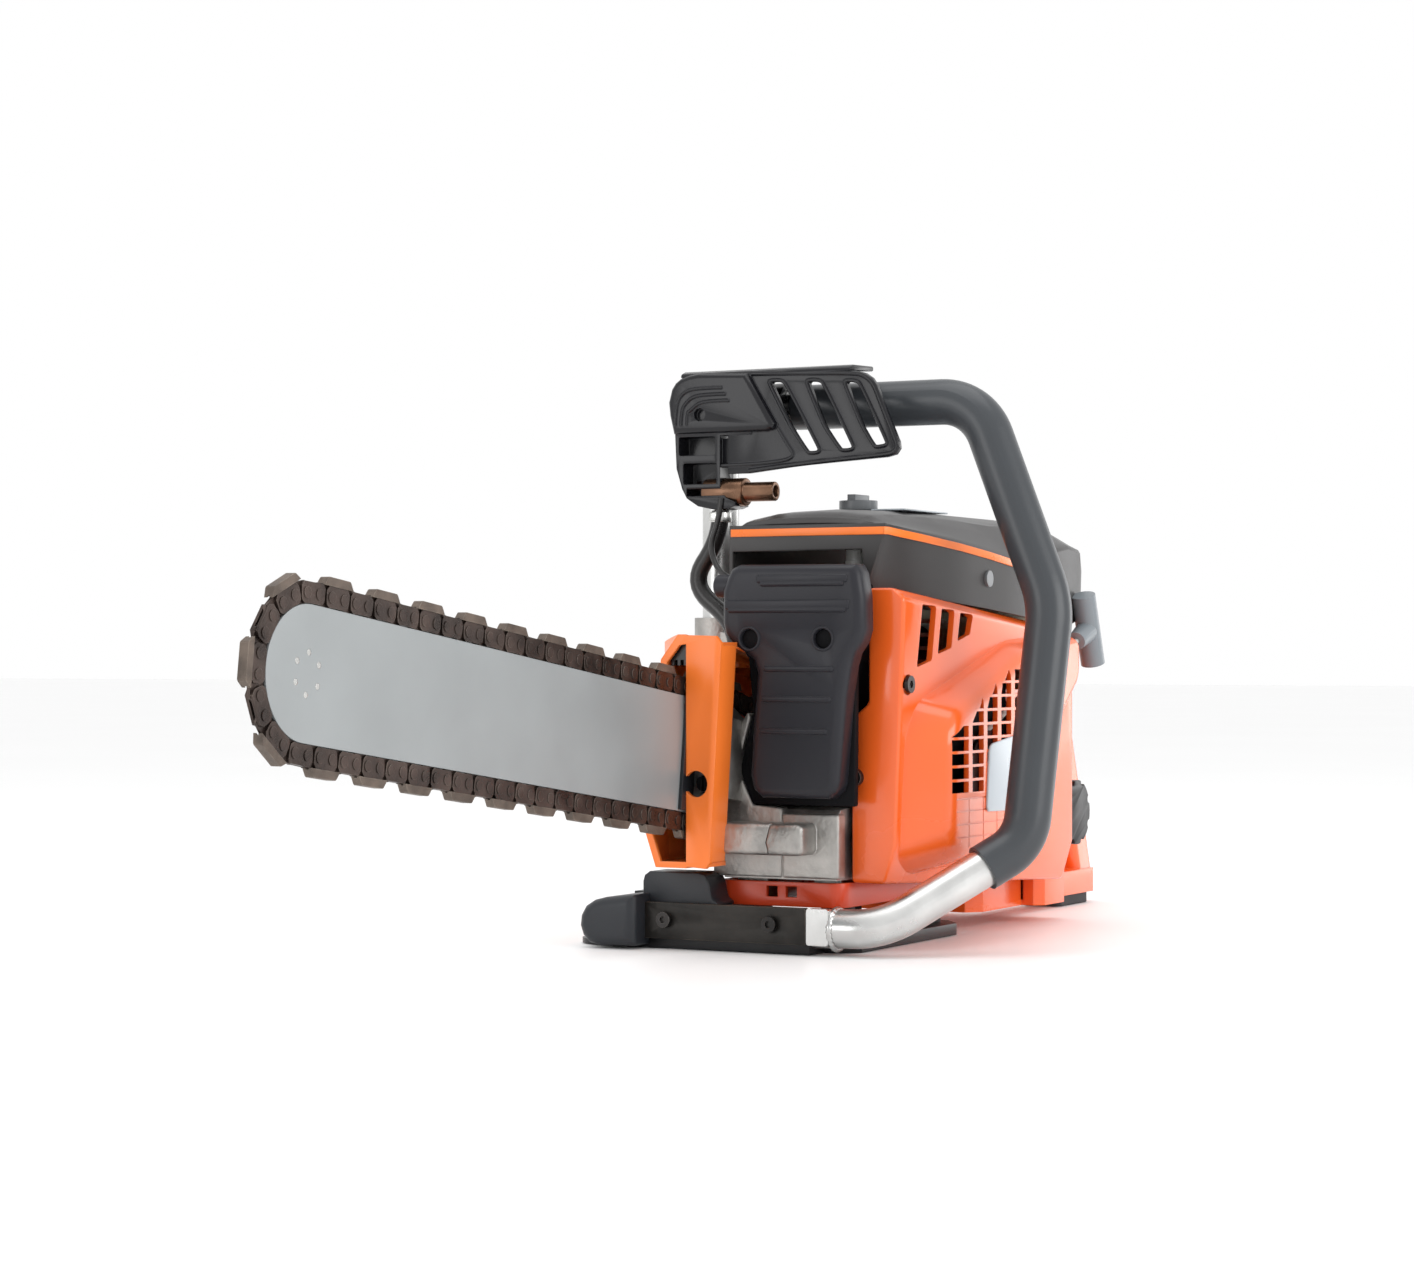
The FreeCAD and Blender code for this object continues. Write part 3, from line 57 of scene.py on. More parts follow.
camera.rotation_euler = (math.radians(90.0), 0.0, math.radians(90.0 + 28.6))
bpy.context.scene.camera = camera

studio = bpy.data.worlds.new("studio")
studio.use_nodes = True
studio.node_tree.nodes["Background"].inputs["Color"].default_value = (1.0, 1.0, 1.0, 1.0)
studio.node_tree.nodes["Background"].inputs["Strength"].default_value = 1.0
bpy.context.scene.world = studio


def softbox(name, place, aim, size, power):
    """A square lamp that looks at a point."""
    lamp_data = bpy.data.lights.new(name, "AREA")
    lamp_data.shape = "RECTANGLE"
    lamp_data.size, lamp_data.size_y = size
    lamp_data.energy = power
    lamp = bpy.data.objects.new(name, lamp_data)
    bpy.context.scene.collection.objects.link(lamp)
    lamp.location = place
    lamp.rotation_euler = (Vector(aim) - Vector(place)).to_track_quat("-Z", "Y").to_euler()


softbox("overhead", (0.1, 0.1, 1.9), (0.05, 0.05, 0.1), (1.6, 1.4), 12.0)
softbox("left_side", (0.1, 2.2, 0.9), (0.0, 0.1, 0.15), (1.4, 1.0), 16.0)
softbox("front", (2.2, -1.0, 0.7), (0.1, 0.0, 0.2), (0.9, 1.1), 7.0)
softbox("far_left", (-1.8, 0.76, 0.40), (-0.05, 0.12, 0.18), (0.5, 0.8), 2.6)


def set_down():
    """Leaves edit mode with nothing selected."""
    if bpy.context.mode != "OBJECT":
        bpy.ops.object.mode_set(mode="OBJECT")
    bpy.ops.object.select_all(action="DESELECT")


def finish(name, colour, roughness, metallic=0.0, grain=900.0, relief=0.05, blotch=14.0,
           blotches=0.12, gloss_change=0.06, rub=None, rub_share=0.8, edge=0.0008, coat=0.0, shine=0.5):
    """A surface with fine grain, slow changes of tone and gloss, eased corners and rubbed edges."""
    material = bpy.data.materials.new(name)
    material.use_nodes = True
    tree = material.node_tree
    new, link = tree.nodes.new, tree.links.new
    shader = tree.nodes["Principled BSDF"]
    shader.inputs["Metallic"].default_value = metallic
    shader.inputs["Coat Weight"].default_value = coat
    shader.inputs["Specular IOR Level"].default_value = shine
    shader.inputs["Coat Roughness"].default_value = 0.1
    place = new("ShaderNodeTexCoord").outputs["Object"]
    fine, broad = new("ShaderNodeTexNoise"), new("ShaderNodeTexNoise")
    for noise, scale, detail in ((fine, grain, 3.0), (broad, blotch, 6.0)):
        noise.inputs["Scale"].default_value = scale
        noise.inputs["Detail"].default_value = detail
        link(place, noise.inputs["Vector"])
    tone = new("ShaderNodeMapRange")
    tone.inputs["From Min"].default_value = 0.32
    tone.inputs["From Max"].default_value = 0.68
    link(broad.outputs["Fac"], tone.inputs["Value"])
    shade = new("ShaderNodeMix")
    shade.data_type = "RGBA"
    shade.inputs["A"].default_value = (*[c * (1.0 - blotches) for c in colour], 1.0)
    shade.inputs["B"].default_value = (*[min(1.0, c * (1.0 + blotches)) for c in colour], 1.0)
    link(tone.outputs["Result"], shade.inputs["Factor"])
    gloss = new("ShaderNodeMapRange")
    gloss.inputs["To Min"].default_value = max(0.03, roughness - gloss_change)
    gloss.inputs["To Max"].default_value = min(1.0, roughness + gloss_change)
    link(tone.outputs["Result"], gloss.inputs["Value"])
    link(gloss.outputs["Result"], shader.inputs["Roughness"])
    eased_edge = new("ShaderNodeBevel")
    eased_edge.samples = 4
    eased_edge.inputs["Radius"].default_value = edge
    bump = new("ShaderNodeBump")
    bump.inputs["Strength"].default_value = relief
    bump.inputs["Distance"].default_value = 0.001
    link(fine.outputs["Fac"], bump.inputs["Height"])
    link(eased_edge.outputs["Normal"], bump.inputs["Normal"])
    link(bump.outputs["Normal"], shader.inputs["Normal"])
    if rub:
        turn = new("ShaderNodeVectorMath")
        turn.operation = "DOT_PRODUCT"
        link(eased_edge.outputs["Normal"], turn.inputs[0])
        link(new("ShaderNodeNewGeometry").outputs["Normal"], turn.inputs[1])
        corner = new("ShaderNodeMapRange")
        corner.inputs["From Min"].default_value = 0.97
        corner.inputs["From Max"].default_value = 0.80
        corner.inputs["To Max"].default_value = rub_share
        link(turn.outputs["Value"], corner.inputs["Value"])
        patchy = new("ShaderNodeMath")
        patchy.operation = "MULTIPLY"
        link(corner.outputs["Result"], patchy.inputs[0])
        link(tone.outputs["Result"], patchy.inputs[1])
        worn = new("ShaderNodeMix")
        worn.data_type = "RGBA"
        worn.inputs["B"].default_value = (*rub, 1.0)
        link(patchy.outputs["Value"], worn.inputs["Factor"])
        link(shade.outputs["Result"], worn.inputs["A"])
        link(worn.outputs["Result"], shader.inputs["Base Color"])
    else:
        link(shade.outputs["Result"], shader.inputs["Base Color"])
    return material


set_down()
bpy.ops.mesh.primitive_plane_add(size=30.0, location=(0.0, 0.0, -0.0005))
floor = bpy.context.object
floor.name = "floor"
floor.data.materials.append(finish("floor_paper", (0.95, 0.95, 0.95), 0.5, grain=60.0, relief=0.01,
                                   blotch=2.0, blotches=0.01))

# ---- Skid, wear plate and feet ----
# The steel skid that the cutter stands on, painted black, with the foot block and a bare
# worn plate screwed across its front end, and rubber blocks under the machine.
MM = 0.001


def dress(node, material):
    """Gives a CAD node its finish."""
    nodes[node].data.materials.clear()
    nodes[node].data.materials.append(material)


def hand_over(piece, material, body="machine", instead=()):
    """Gives a modelled piece its finish, its body and the CAD nodes it stands for."""
    piece.data.materials.clear()
    piece.data.materials.append(material)
    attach(piece, body)
    if instead:
        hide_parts(*instead)


def at(axis, along, a, b):
    """A point from its place along an axis and its other two coordinates, in millimetres."""
    point = {"x": (along, a, b), "y": (a, along, b), "z": (a, b, along)}[axis]
    return Vector(point) * MM


def pressed(name, outline, axis, low, high):
    """A flat outline in millimetres, pulled along an axis into a solid."""
    set_down()
    bpy.ops.mesh.primitive_circle_add(vertices=len(outline), radius=1.0, fill_type="NGON")
    piece = bpy.context.object
    piece.name = name
    for vertex, (a, b) in zip(piece.data.vertices, outline):
        vertex.co = at(axis, low, a, b)
    bpy.ops.object.mode_set(mode="EDIT")
    bpy.ops.mesh.select_all(action="SELECT")
    bpy.ops.mesh.extrude_region_move(TRANSFORM_OT_translate={"value": at(axis, high - low, 0, 0)})
    bpy.ops.mesh.select_all(action="SELECT")
    bpy.ops.mesh.normals_make_consistent(inside=False)
    set_down()
    return piece


def round_outline(a, b, radius, count=32):
    """The points of a circle about a centre, in millimetres."""
    turns = [k * math.pi / (count / 2) for k in range(count)]
    return [(a + radius * math.cos(turn), b + radius * math.sin(turn)) for turn in turns]


def box_outline(low_a, high_a, low_b, high_b):
    """The four corners of a rectangle, in millimetres."""
    return [(low_a, low_b), (high_a, low_b), (high_a, high_b), (low_a, high_b)]


def pick_up(piece):
    """Leaves edit mode with this piece alone selected."""
    set_down()
    piece.select_set(True)
    bpy.context.view_layer.objects.active = piece


def use_modifier(piece, kind, **settings):
    """Adds a modifier and applies it."""
    pick_up(piece)
    modifier = piece.modifiers.new(kind.lower(), kind)
    for setting, value in settings.items():
        setattr(modifier, setting, value)
    bpy.ops.object.modifier_apply(modifier=modifier.name)


def smooth(piece, angle):
    """Smooths the faces that meet at less than an angle in degrees."""
    pick_up(piece)
    bpy.ops.object.shade_smooth_by_angle(angle=math.radians(angle))
    set_down()


def ease(piece, width, segments=3, angle=30.0):
    """Rounds the sharp edges and smooths the faces between them."""
    use_modifier(piece, "BEVEL", width=width * MM, segments=segments, limit_method="ANGLE",
                 angle_limit=math.radians(angle), use_clamp_overlap=True)
    smooth(piece, angle)


def cut_away(piece, cutter):
    """Takes the cutter's shape out of the piece."""
    use_modifier(piece, "BOOLEAN", operation="DIFFERENCE", solver="EXACT", object=cutter)
    bpy.data.objects.remove(cutter)


def put_together(piece, others):
    """Makes one mesh of several."""
    set_down()
    for other in others:
        other.select_set(True)
    piece.select_set(True)
    bpy.context.view_layer.objects.active = piece
    bpy.ops.object.join()
    set_down()


def merged_copy(node, name):
    """The CAD node's shape as a clean mesh of its own."""
    piece = nodes[node].copy()
    piece.data = nodes[node].data.copy()
    piece.name = name
    bpy.context.scene.collection.objects.link(piece)
    pick_up(piece)
    bpy.ops.object.mode_set(mode="EDIT")
    bpy.ops.mesh.select_all(action="SELECT")
    bpy.ops.mesh.remove_doubles(threshold=0.000002)
    bpy.ops.mesh.dissolve_limited(angle_limit=math.radians(0.6))
    set_down()
    return piece


BLACK = finish("black_moulding", (0.010, 0.010, 0.011), 0.33, relief=0.06, rub=(0.06, 0.06, 0.07),
               shine=0.3)
WORN_STEEL = finish("blackened_steel", (0.020, 0.018, 0.016), 0.42, metallic=0.5, shine=0.35,
                    grain=260.0, relief=0.25, blotch=34.0, blotches=0.7, gloss_change=0.12,
                    rub=(0.30, 0.24, 0.18), rub_share=1.0)
FOOT_PAINT = finish("foot_paint", (0.017, 0.019, 0.023), 0.36, shine=0.35, grain=500.0, relief=0.08,
                    blotches=0.25, rub=(0.16, 0.15, 0.14))
RUBBER = finish("black_rubber", (0.014, 0.014, 0.015), 0.62, relief=0.12, rub=(0.05, 0.05, 0.05))

skid = merged_copy("skid_plate", "skid")
cut_away(skid, pressed("trim", box_outline(-112, -90, 3.5, 60), "x", 10, 125))
ease(skid, 1.6, 3)
hand_over(skid, BLACK, instead=["skid_plate"])

foot_block = pressed("foot_block", [(-54, 8.1), (-54, 43), (-52.8, 47), (-49, 49.6), (-12, 49.6), (-7.5, 48),
                                    (-5, 43), (-4, 37), (-2.6, 33), (1, 30.6), (1, 29), (-1, 27), (-2, 8.1)],
                     "x", 71, 94.9)
ease(foot_block, 1.2, 3, 40.0)
hand_over(foot_block, FOOT_PAINT, instead=["guard_foot"])

wear_strip = merged_copy("wear_plate", "wear_strip")
ease(wear_strip, 0.7, 2)
hand_over(wear_strip, WORN_STEEL, instead=["wear_plate"])
dress("rubber_mounts", RUBBER)


def bevel_edges(piece, width, segments, picked):
    """Rounds the edges that the test picks by their two ends."""
    set_down()
    for face in piece.data.polygons:
        face.select = False
    for vertex in piece.data.vertices:
        vertex.select = False
    for edge in piece.data.edges:
        a, b = (piece.data.vertices[v].co / MM for v in edge.vertices)
        edge.select = picked(a, b)
    pick_up(piece)
    bpy.ops.object.mode_set(mode="EDIT")
    bpy.ops.mesh.select_mode(type="EDGE")
    bpy.ops.mesh.bevel(offset=width * MM, segments=segments, profile=0.5, affect="EDGES",
                       clamp_overlap=True)
    set_down()


bumper = pressed("skid_bumper", [(-49, 2), (-77, 1.2), (-84, 3), (-88.5, 7.5), (-90.8, 14), (-90, 21),
                                 (-86.5, 27), (-80, 31), (-72, 33), (-60, 34.4), (-49, 35.5)],
                 "x", 70, 117.5)
bevel_edges(bumper, 7.0, 6, lambda a, b: a.x > 117.4 and b.x > 117.4)
ease(bumper, 1.5, 3, 40.0)
hand_over(bumper, FOOT_PAINT)

# ---- Screws ----
# Black steel screws that hold the covers and the wear strip, driven in from outside.
# The bright zinc finish is for the small rivets and clips further on.
SCREW = finish("screw_black", (0.03, 0.028, 0.027), 0.32, metallic=0.85, grain=600.0, relief=0.1,
               blotches=0.4, rub=(0.35, 0.32, 0.30), edge=0.0004)
BRIGHT = finish("zinc_bright", (0.60, 0.60, 0.58), 0.26, metallic=1.0, grain=500.0, relief=0.06,
                blotches=0.15)
dress("cover_screws", SCREW)

# ---- Base tray ----
# The red moulded tray under the engine, with cooling slots along its front. It sits on
# the skid's rubber blocks.
TRAY = finish("tray_red", (0.62, 0.055, 0.012), 0.30, relief=0.05, blotches=0.10, rub=(0.8, 0.25, 0.12))
tray = merged_copy("base_tray", "tray")
ease(tray, 1.0, 2)
hand_over(tray, TRAY, instead=["base_tray"])

# ---- Crankcase ----
# Two raw die-cast halves bolted on a seam, with a front boss and a thin web that carries
# the silencer.
CAST = finish("raw_casting", (0.40, 0.385, 0.365), 0.45, metallic=0.85, grain=260.0, relief=0.55,
              blotch=45.0, blotches=0.30, gloss_change=0.12, rub=(0.85, 0.84, 0.82), edge=0.0012)
for node in ("crankcase_right", "crankcase_left", "handle_bracket"):
    dress(node, CAST)

web = pressed("case_web", [(-12, 47), (38.4, 47), (38.4, 92), (34.6, 92.4), (17.1, 93.4), (5.6, 116.5),
                           (15.6, 151), (13, 153.6), (-1, 132), (-8, 118), (-12, 100)], "x", 66, 76)
ease(web, 1.4, 3)
block = pressed("case_block", [(39.0, 47), (79.5, 47), (79.5, 88.6), (39.0, 88.4)], "x", 66, 77)
ease(block, 1.6, 3)
boss = pressed("boss", [(-1, 62.5), (-1, 83), (64, 83), (64, 62.5)], "x", 74, 99)
ease(boss, 4.5, 6)
seam = pressed("seam", [(38.6, 60), (39.6, 66), (38.2, 71), (40.2, 78), (41.4, 86), (42.0, 86), (40.8, 78),
                        (38.8, 71), (40.2, 66), (39.2, 60)], "x", 96, 102)
cut_away(boss, seam)
ease(boss, 0.3, 2, 50.0)
put_together(web, [block, boss])
web.name = "case_front"
hand_over(web, CAST)

# ---- Cylinder, piston and fuel system ----
# The finned cylinder on the crankcase, its piston and spark plug, and the carburettor
# and filter behind it, hidden under the hood.
CLEAN_CAST = finish("machined_casting", (0.62, 0.62, 0.60), 0.33, metallic=1.0, grain=700.0, relief=0.15,
                    blotches=0.12)
PORCELAIN = finish("porcelain", (0.80, 0.80, 0.77), 0.18, grain=300.0, relief=0.01, blotches=0.03)
FILTER_PAPER = finish("filter_paper", (0.66, 0.60, 0.46), 0.85, grain=1200.0, relief=0.3, blotches=0.08)
for node in ("cylinder", "piston", "carburettor", "crankshaft", "flywheel"):
    dress(node, CLEAN_CAST)
dress("spark_plug", PORCELAIN)
dress("air_filter", FILTER_PAPER)
dress("intake_boot", RUBBER)

# ---- Clutch and bearings ----
# Ground steel parts behind the guard: bearings, clutch, drum, drive sprocket, studs and
# nuts. The clutch's and the starter's springs are chromated.
GROUND_STEEL = finish("ground_steel", (0.50, 0.50, 0.50), 0.28, metallic=1.0, grain=900.0, relief=0.08,
                      blotch=50.0, blotches=0.2)
SPRING_STEEL = finish("chromated_spring", (0.72, 0.52, 0.17), 0.28, metallic=1.0, grain=500.0, relief=0.08,
                      blotches=0.2)
for node in ("crank_bearings", "clutch_drum", "clutch_hub", "clutch_shoes", "drive_sprocket",
             "lever_pins", "bar_studs", "bar_nuts"):
    dress(node, GROUND_STEEL)
for node in ("clutch_spring", "recoil_spring"):
    dress(node, SPRING_STEEL)

# ---- Silencer ----
# A pressed steel silencer under a charcoal heat shield with soft corners and pressed
# ribs, held by two recessed screws.
SHIELD_BLACK = finish("stove_black", (0.005, 0.005, 0.006), 0.6, relief=0.1, blotches=0.3, shine=0.1)
SHIELD_GREY = finish("charcoal_shield", (0.017, 0.017, 0.022), 0.38, shine=0.3, grain=700.0,
                     blotch=9.0, blotches=0.10, gloss_change=0.03, edge=0.0006)
dress("muffler_body", SHIELD_BLACK)
# A black sheet behind the heat shield, wider than it, so the gap between the shield and the housing shows
# dark: painted shade.
shade_backing = pressed("painted_shade_backing", [(17, 94), (90.5, 94), (91, 150), (91, 200), (91, 240), (86, 243),
                                     (4, 243), (0, 236), (0, 206), (14, 190), (17.5, 152), (7.5, 116)],
                  "x", 70, 75.9)
ease(shade_backing, 1.0, 2)
hand_over(shade_backing, SHIELD_BLACK)

RIB_HALF = 1.7
RIB_ROWS = ((31.3, 91.4, 236.4), (8.1, 93.0, 219.6), (34.2, 84.0, 181.8), (32.7, 82.5, 162.4),
            (31.1, 79.6, 141.9))
shield = pressed("heat_shield", [(31, 99), (78.5, 99), (84.6, 104), (86.3, 110.2), (90.9, 165.4), (94.0, 184),
                                 (96.5, 192), (101.5, 199), (104, 207), (103.5, 228), (101, 243),
                                 (97.8, 248.5),
                                 (14.5, 249), (9, 246.5), (5.5, 240), (2.5, 232), (2.5, 211), (4.5, 204),
                                 (10, 197.5), (19.5, 191.5), (25, 187), (27.6, 179), (24.0, 136.9),
                                 (22.6, 113), (25, 104)], "x", 76, 93)
bevel_edges(shield, 6.5, 6, lambda a, b: a.x > 92.9 and b.x > 92.9)
WELL_Y = (23.5, 76.2)
WELL_Z = 201.1
for y in WELL_Y:
    cut_away(shield, pressed("well", round_outline(y, WELL_Z, 6.2), "x", 88, 96))
ease(shield, 0.5, 2, 40.0)
ribs = []
painted_shade_discs = []
for low_y, high_y, z in RIB_ROWS:
    rib = pressed("rib", box_outline(low_y, high_y, z - RIB_HALF, z + RIB_HALF), "x", 88, 94.6)
    ease(rib, 1.5, 4)
    ribs.append(rib)
for low_y, high_y, low_z, high_z in ((29, 93.5, 237, 242), (6, 95, 220, 226)):
    step = pressed("step", box_outline(low_y, high_y, low_z, high_z), "x", 88, 94.2)
    ease(step, 1.1, 3)
    ribs.append(step)
for y in WELL_Y:
    set_down()
    bpy.ops.mesh.primitive_torus_add(location=(93.2 * MM, y * MM, WELL_Z * MM),
                                     rotation=(0, math.radians(90), 0), major_radius=7.2 * MM,
                                     minor_radius=0.8 * MM, major_segments=48, minor_segments=8)
    lip = bpy.context.object
    bpy.ops.object.transform_apply(location=True, rotation=True, scale=True)
    bpy.ops.object.shade_smooth()
    ribs.append(lip)
    # A black disc down in each well: painted shade at the bottom of the hollow, which also hides the screw
    # heads there.
    painted_shade_disc = pressed("painted_shade_disc", round_outline(y, WELL_Z, 6.3), "x", 89.6, 90.4)
    ease(painted_shade_disc, 0.2, 2)
    painted_shade_discs.append(painted_shade_disc)
outlet = pressed("outlet", round_outline(60, 235.4, 7.6), "y", -7.5, 14)
OUTLET_SHIFT = 18
for vertex in outlet.data.vertices:
    vertex.co.x += OUTLET_SHIFT * MM
ease(outlet, 1.6, 4)
ribs.append(outlet)
put_together(shield, ribs)
hand_over(shield, SHIELD_GREY, instead=["muffler_cover"])
# The painted shade discs are joined into one piece in the stove black finish.
put_together(painted_shade_discs[0], painted_shade_discs[1:])
painted_shade_discs[0].name = "painted_shade_discs"
hand_over(painted_shade_discs[0], SHIELD_BLACK)

# ---- Starter housing ----
# A glossy orange moulding over the fan: a flat upper panel with three slots, a bulge with
# soft rolled shoulders, and a grille that the fan draws its air through.
HOUSING_ORANGE = finish("housing_orange", (0.86, 0.125, 0.016), 0.24, grain=260.0, relief=0.02, blotch=7.0,
                        blotches=0.05, gloss_change=0.04, rub=(0.95, 0.32, 0.12), rub_share=0.5, coat=0.5)


def lofted(name, rings):
    """A closed skin over rings of points, in millimetres, with as many points in each ring."""
    set_down()
    bpy.ops.mesh.primitive_circle_add(vertices=len(rings[0]), radius=1.0, fill_type="NGON")
    piece = bpy.context.object
    piece.name = name
    for vertex, point in zip(piece.data.vertices, rings[0]):
        vertex.co = Vector(point) * MM
    for last, ring in zip(rings, rings[1:]):
        steps = [(Vector(start) * MM, Vector(end) * MM) for start, end in zip(last, ring)]
        pick_up(piece)
        bpy.ops.object.mode_set(mode="EDIT")
        bpy.ops.mesh.extrude_region_move()
        bpy.ops.object.mode_set(mode="OBJECT")
        for vertex in piece.data.vertices:
            if vertex.select:
                vertex.co = min(steps, key=lambda step: (step[0] - vertex.co).length)[1]
    pick_up(piece)
    bpy.ops.object.mode_set(mode="EDIT")
    bpy.ops.mesh.select_all(action="SELECT")
    bpy.ops.mesh.normals_make_consistent(inside=False)
    set_down()
    return piece


def across(axis, along, points):
    """The points of a section in millimetres, at one place along an axis."""
    return [tuple(at(axis, along, a, b) / MM) for a, b in points]


panel = lofted("panel", [
    across("x", -196, [(93, 32), (93, 150), (94, 160), (94, 208.6), (123, 208.6), (130, 202), (130, 60),
                       (122, 32)]),
    across("x", 60, [(80, 44), (80, 150), (92, 160), (92, 234.2), (110, 234.2), (118, 227.5), (112, 70),
                     (104, 44)])])
ease(panel, 3.0, 3, 18.0)
bulge = lofted("bulge", [
    across("y", 104, [(59, 60), (59, 140), (42, 165), (-2, 180), (-96, 213), (-190, 208), (-190, 164),
                      (-128, 124), (-128, 50), (34, 47)]),
    across("y", 142, [(36, 73), (36, 140), (24, 154), (-4, 163), (-80, 191), (-182, 203), (-182, 174),
                      (-112, 118), (-112, 62), (25, 61)])])
bevel_edges(bulge, 14.0, 5, lambda a, b: abs(a.y - b.y) > 1.0)
bevel_edges(bulge, 7.0, 5, lambda a, b: a.y > 141.9 and b.y > 141.9)
use_modifier(panel, "BOOLEAN", operation="UNION", solver="EXACT", object=bulge)
bpy.data.objects.remove(bulge)

hollow = lofted("hollow", [
    across("x", -193, [(60, 35), (60, 150), (60, 160), (60, 205.5), (120, 205.5), (126, 199), (126, 62),
                       (119, 36)]),
    across("x", 57, [(60, 47), (60, 150), (60, 160), (60, 231.5), (107, 231.5), (114, 225), (108, 72),
                     (101, 48)])])
hollow_bulge = lofted("hollow_bulge", [
    across("y", 100, [(54, 64), (54, 138), (38, 160), (-2, 174), (-96, 207), (-186, 204), (-186, 167),
                      (-125, 127), (-125, 54), (31, 52)]),
    across("y", 138.5, [(32, 77), (32, 137), (21, 149), (-4, 158), (-79, 186), (-178, 199), (-178, 178),
                        (-108, 121), (-108, 66), (22, 65)])])
cut_away(panel, hollow)
cut_away(panel, hollow_bulge)
SLOT_OUTLINES = (((34.5, 223.5), (15, 222.6), (18.8, 187.2), (39.5, 182.8)),
                 ((7.5, 221), (-11, 220.2), (-8.4, 195.4), (11, 191.2)),
                 ((-19.4, 218.6), (-38, 217.6), (-34.3, 204.4), (-16.4, 199.8)))
for outline in SLOT_OUTLINES:
    slot = pressed("slot", outline, "y", 95, 140)
    bevel_edges(slot, 1.5, 3, lambda a, b: abs(a.y - b.y) > 1.0)
    cut_away(panel, slot)
cut_away(panel, pressed("well", round_outline(51, 171.6, 6.6, 28), "y", 113.6, 140))
GRILLE_ROWS = 9
GRILLE_PITCH = 9.0
GRILLE_OPEN = 7.2
GRILLE_FOOT = 101.8
GRILLE_COLUMNS = ((12.8, 35.0), (-11.2, 6.8), (-33.9, -17.2), (-56.6, -40.1), (-79.0, -62.8))


def grille_front(z):
    """How far forward the grille reaches at a height, along its slanted upper edge."""
    return min(35.0, 35.0 - (z - 139.0) * 2.35)


for row in range(GRILLE_ROWS):
    low = GRILLE_FOOT + row * GRILLE_PITCH
    high = low + GRILLE_OPEN
    for left_x, right_x in GRILLE_COLUMNS:
        low_front = min(right_x, grille_front(low))
        high_front = max(left_x, min(right_x, grille_front(high)))
        if low_front - left_x > 4.0:
            corners = [(left_x, low), (low_front, low), (high_front, high), (left_x, high)]
            if high_front - left_x <= 0.5:
                corners.pop(2)
            cut_away(panel, pressed("opening", corners, "y", 133, 146))
GROOVE = 0.9
for z in (72.6, 81.0, 89.5, 97.4):
    cut_away(panel, pressed("groove", box_outline(-78, 31, z, z + GROOVE), "y", 141.3, 146))
for x in (-55.5, -33.2, -10.8, 12.0):
    cut_away(panel, pressed("groove", box_outline(x, x + GROOVE, 66, 98), "y", 141.3, 146))
panel.name = "starter_shell"
smooth(panel, 24.0)
# A black sheet behind the grille openings: painted shade that stands in for the dark inside of the housing.
painted_shade_grille_backing = pressed("painted_shade_grille_backing", [(-80, 70), (34, 70), (34, 140), (20, 152), (-4, 161), (-80, 189)],
                       "y", 126, 128)
hand_over(panel, HOUSING_ORANGE, instead=["starter_housing"])
hand_over(painted_shade_grille_backing, SHIELD_BLACK)

LABEL_WHITE = finish("label_film", (0.52, 0.57, 0.61), 0.32, relief=0.02, blotches=0.03)
name_plate = pressed("name_plate", [(-18.6, 128), (-20.5, 131), (-24, 132.6), (-76, 139),
                                    (-78, 137), (-78, 90),
                                    (-75, 87), (-17, 88), (-14.4, 91)], "y", 141.6, 143.4)
ease(name_plate, 0.8, 3)
hand_over(name_plate, LABEL_WHITE, instead=["label_plates"])

# ---- Hood ----
# A dark moulded hood over the cylinder and filter: crowned on top, with an open mouth
# above the silencer, a bright band along its shoulder and a quarter-turn knob.
HOOD_GREY = finish("hood_charcoal", (0.040, 0.038, 0.038), 0.36, shine=0.4, grain=1500.0, relief=0.12,
                   blotch=8.0, blotches=0.08, gloss_change=0.03, rub=(0.13, 0.13, 0.13), rub_share=0.6)


def hood_section(x, right, left, low_left, low, shoulder, top):
    """The hood's outline across one place along its length, from its right foot over to its left."""
    crown = 0.25 * (top - shoulder)
    return across("x", x, [
        (right, low), (right, shoulder - 8), (right + 3, shoulder - 1), (right + 12, top - crown * 1.4),
        (right + 30, top - crown * 0.25), (0.5 * (right + left), top), (left - 42, top - crown * 0.2),
        (left - 22, top - crown * 1.0), (left - 8, shoulder + crown * 1.1), (left - 1.5, shoulder + 1.5),
        (left, shoulder - 1), (0.5 * (left + low_left), 0.5 * (low + shoulder)), (low_left, low)])


HOOD_STATIONS = ((46, -16, 98, 85, 236, 274, 277), (44, -16, 99.3, 87.5, 234, 274, 280.5),
                 (34, -15.8, 103, 93, 233.4, 272.6, 284.5), (12, -15.4, 108, 102, 230, 270, 287),
                 (-30, -14.5, 116, 113, 225.4, 265, 287.6), (-70, -13.8, 120.5, 119, 221.8, 260, 287.6),
                 (-110, -13, 125, 124, 217.8, 254, 287.2), (-160, -11.5, 126, 126, 213.2, 262, 286.5),
                 (-196, -10, 126.5, 126, 211, 266, 285), (-228, -7, 122, 121, 215.6, 264, 281),
                 (-248, -3, 115, 114, 216.6, 252, 270))
hood = lofted("hood", [hood_section(*station) for station in HOOD_STATIONS])
for face in hood.data.polygons:
    centre = face.center / MM
    face.select = face.normal.z < -0.9 or centre.x > 45.9
for vertex in hood.data.vertices:
    vertex.select = False
for edge in hood.data.edges:
    edge.select = False
pick_up(hood)
bpy.ops.object.mode_set(mode="EDIT")
bpy.ops.mesh.select_mode(type="FACE")
bpy.ops.mesh.delete(type="FACE")
set_down()
use_modifier(hood, "SUBSURF", levels=1, render_levels=1, subdivision_type="SIMPLE")
use_modifier(hood, "SOLIDIFY", thickness=2.6 * MM, offset=-1.0)
smooth(hood, 28.0)
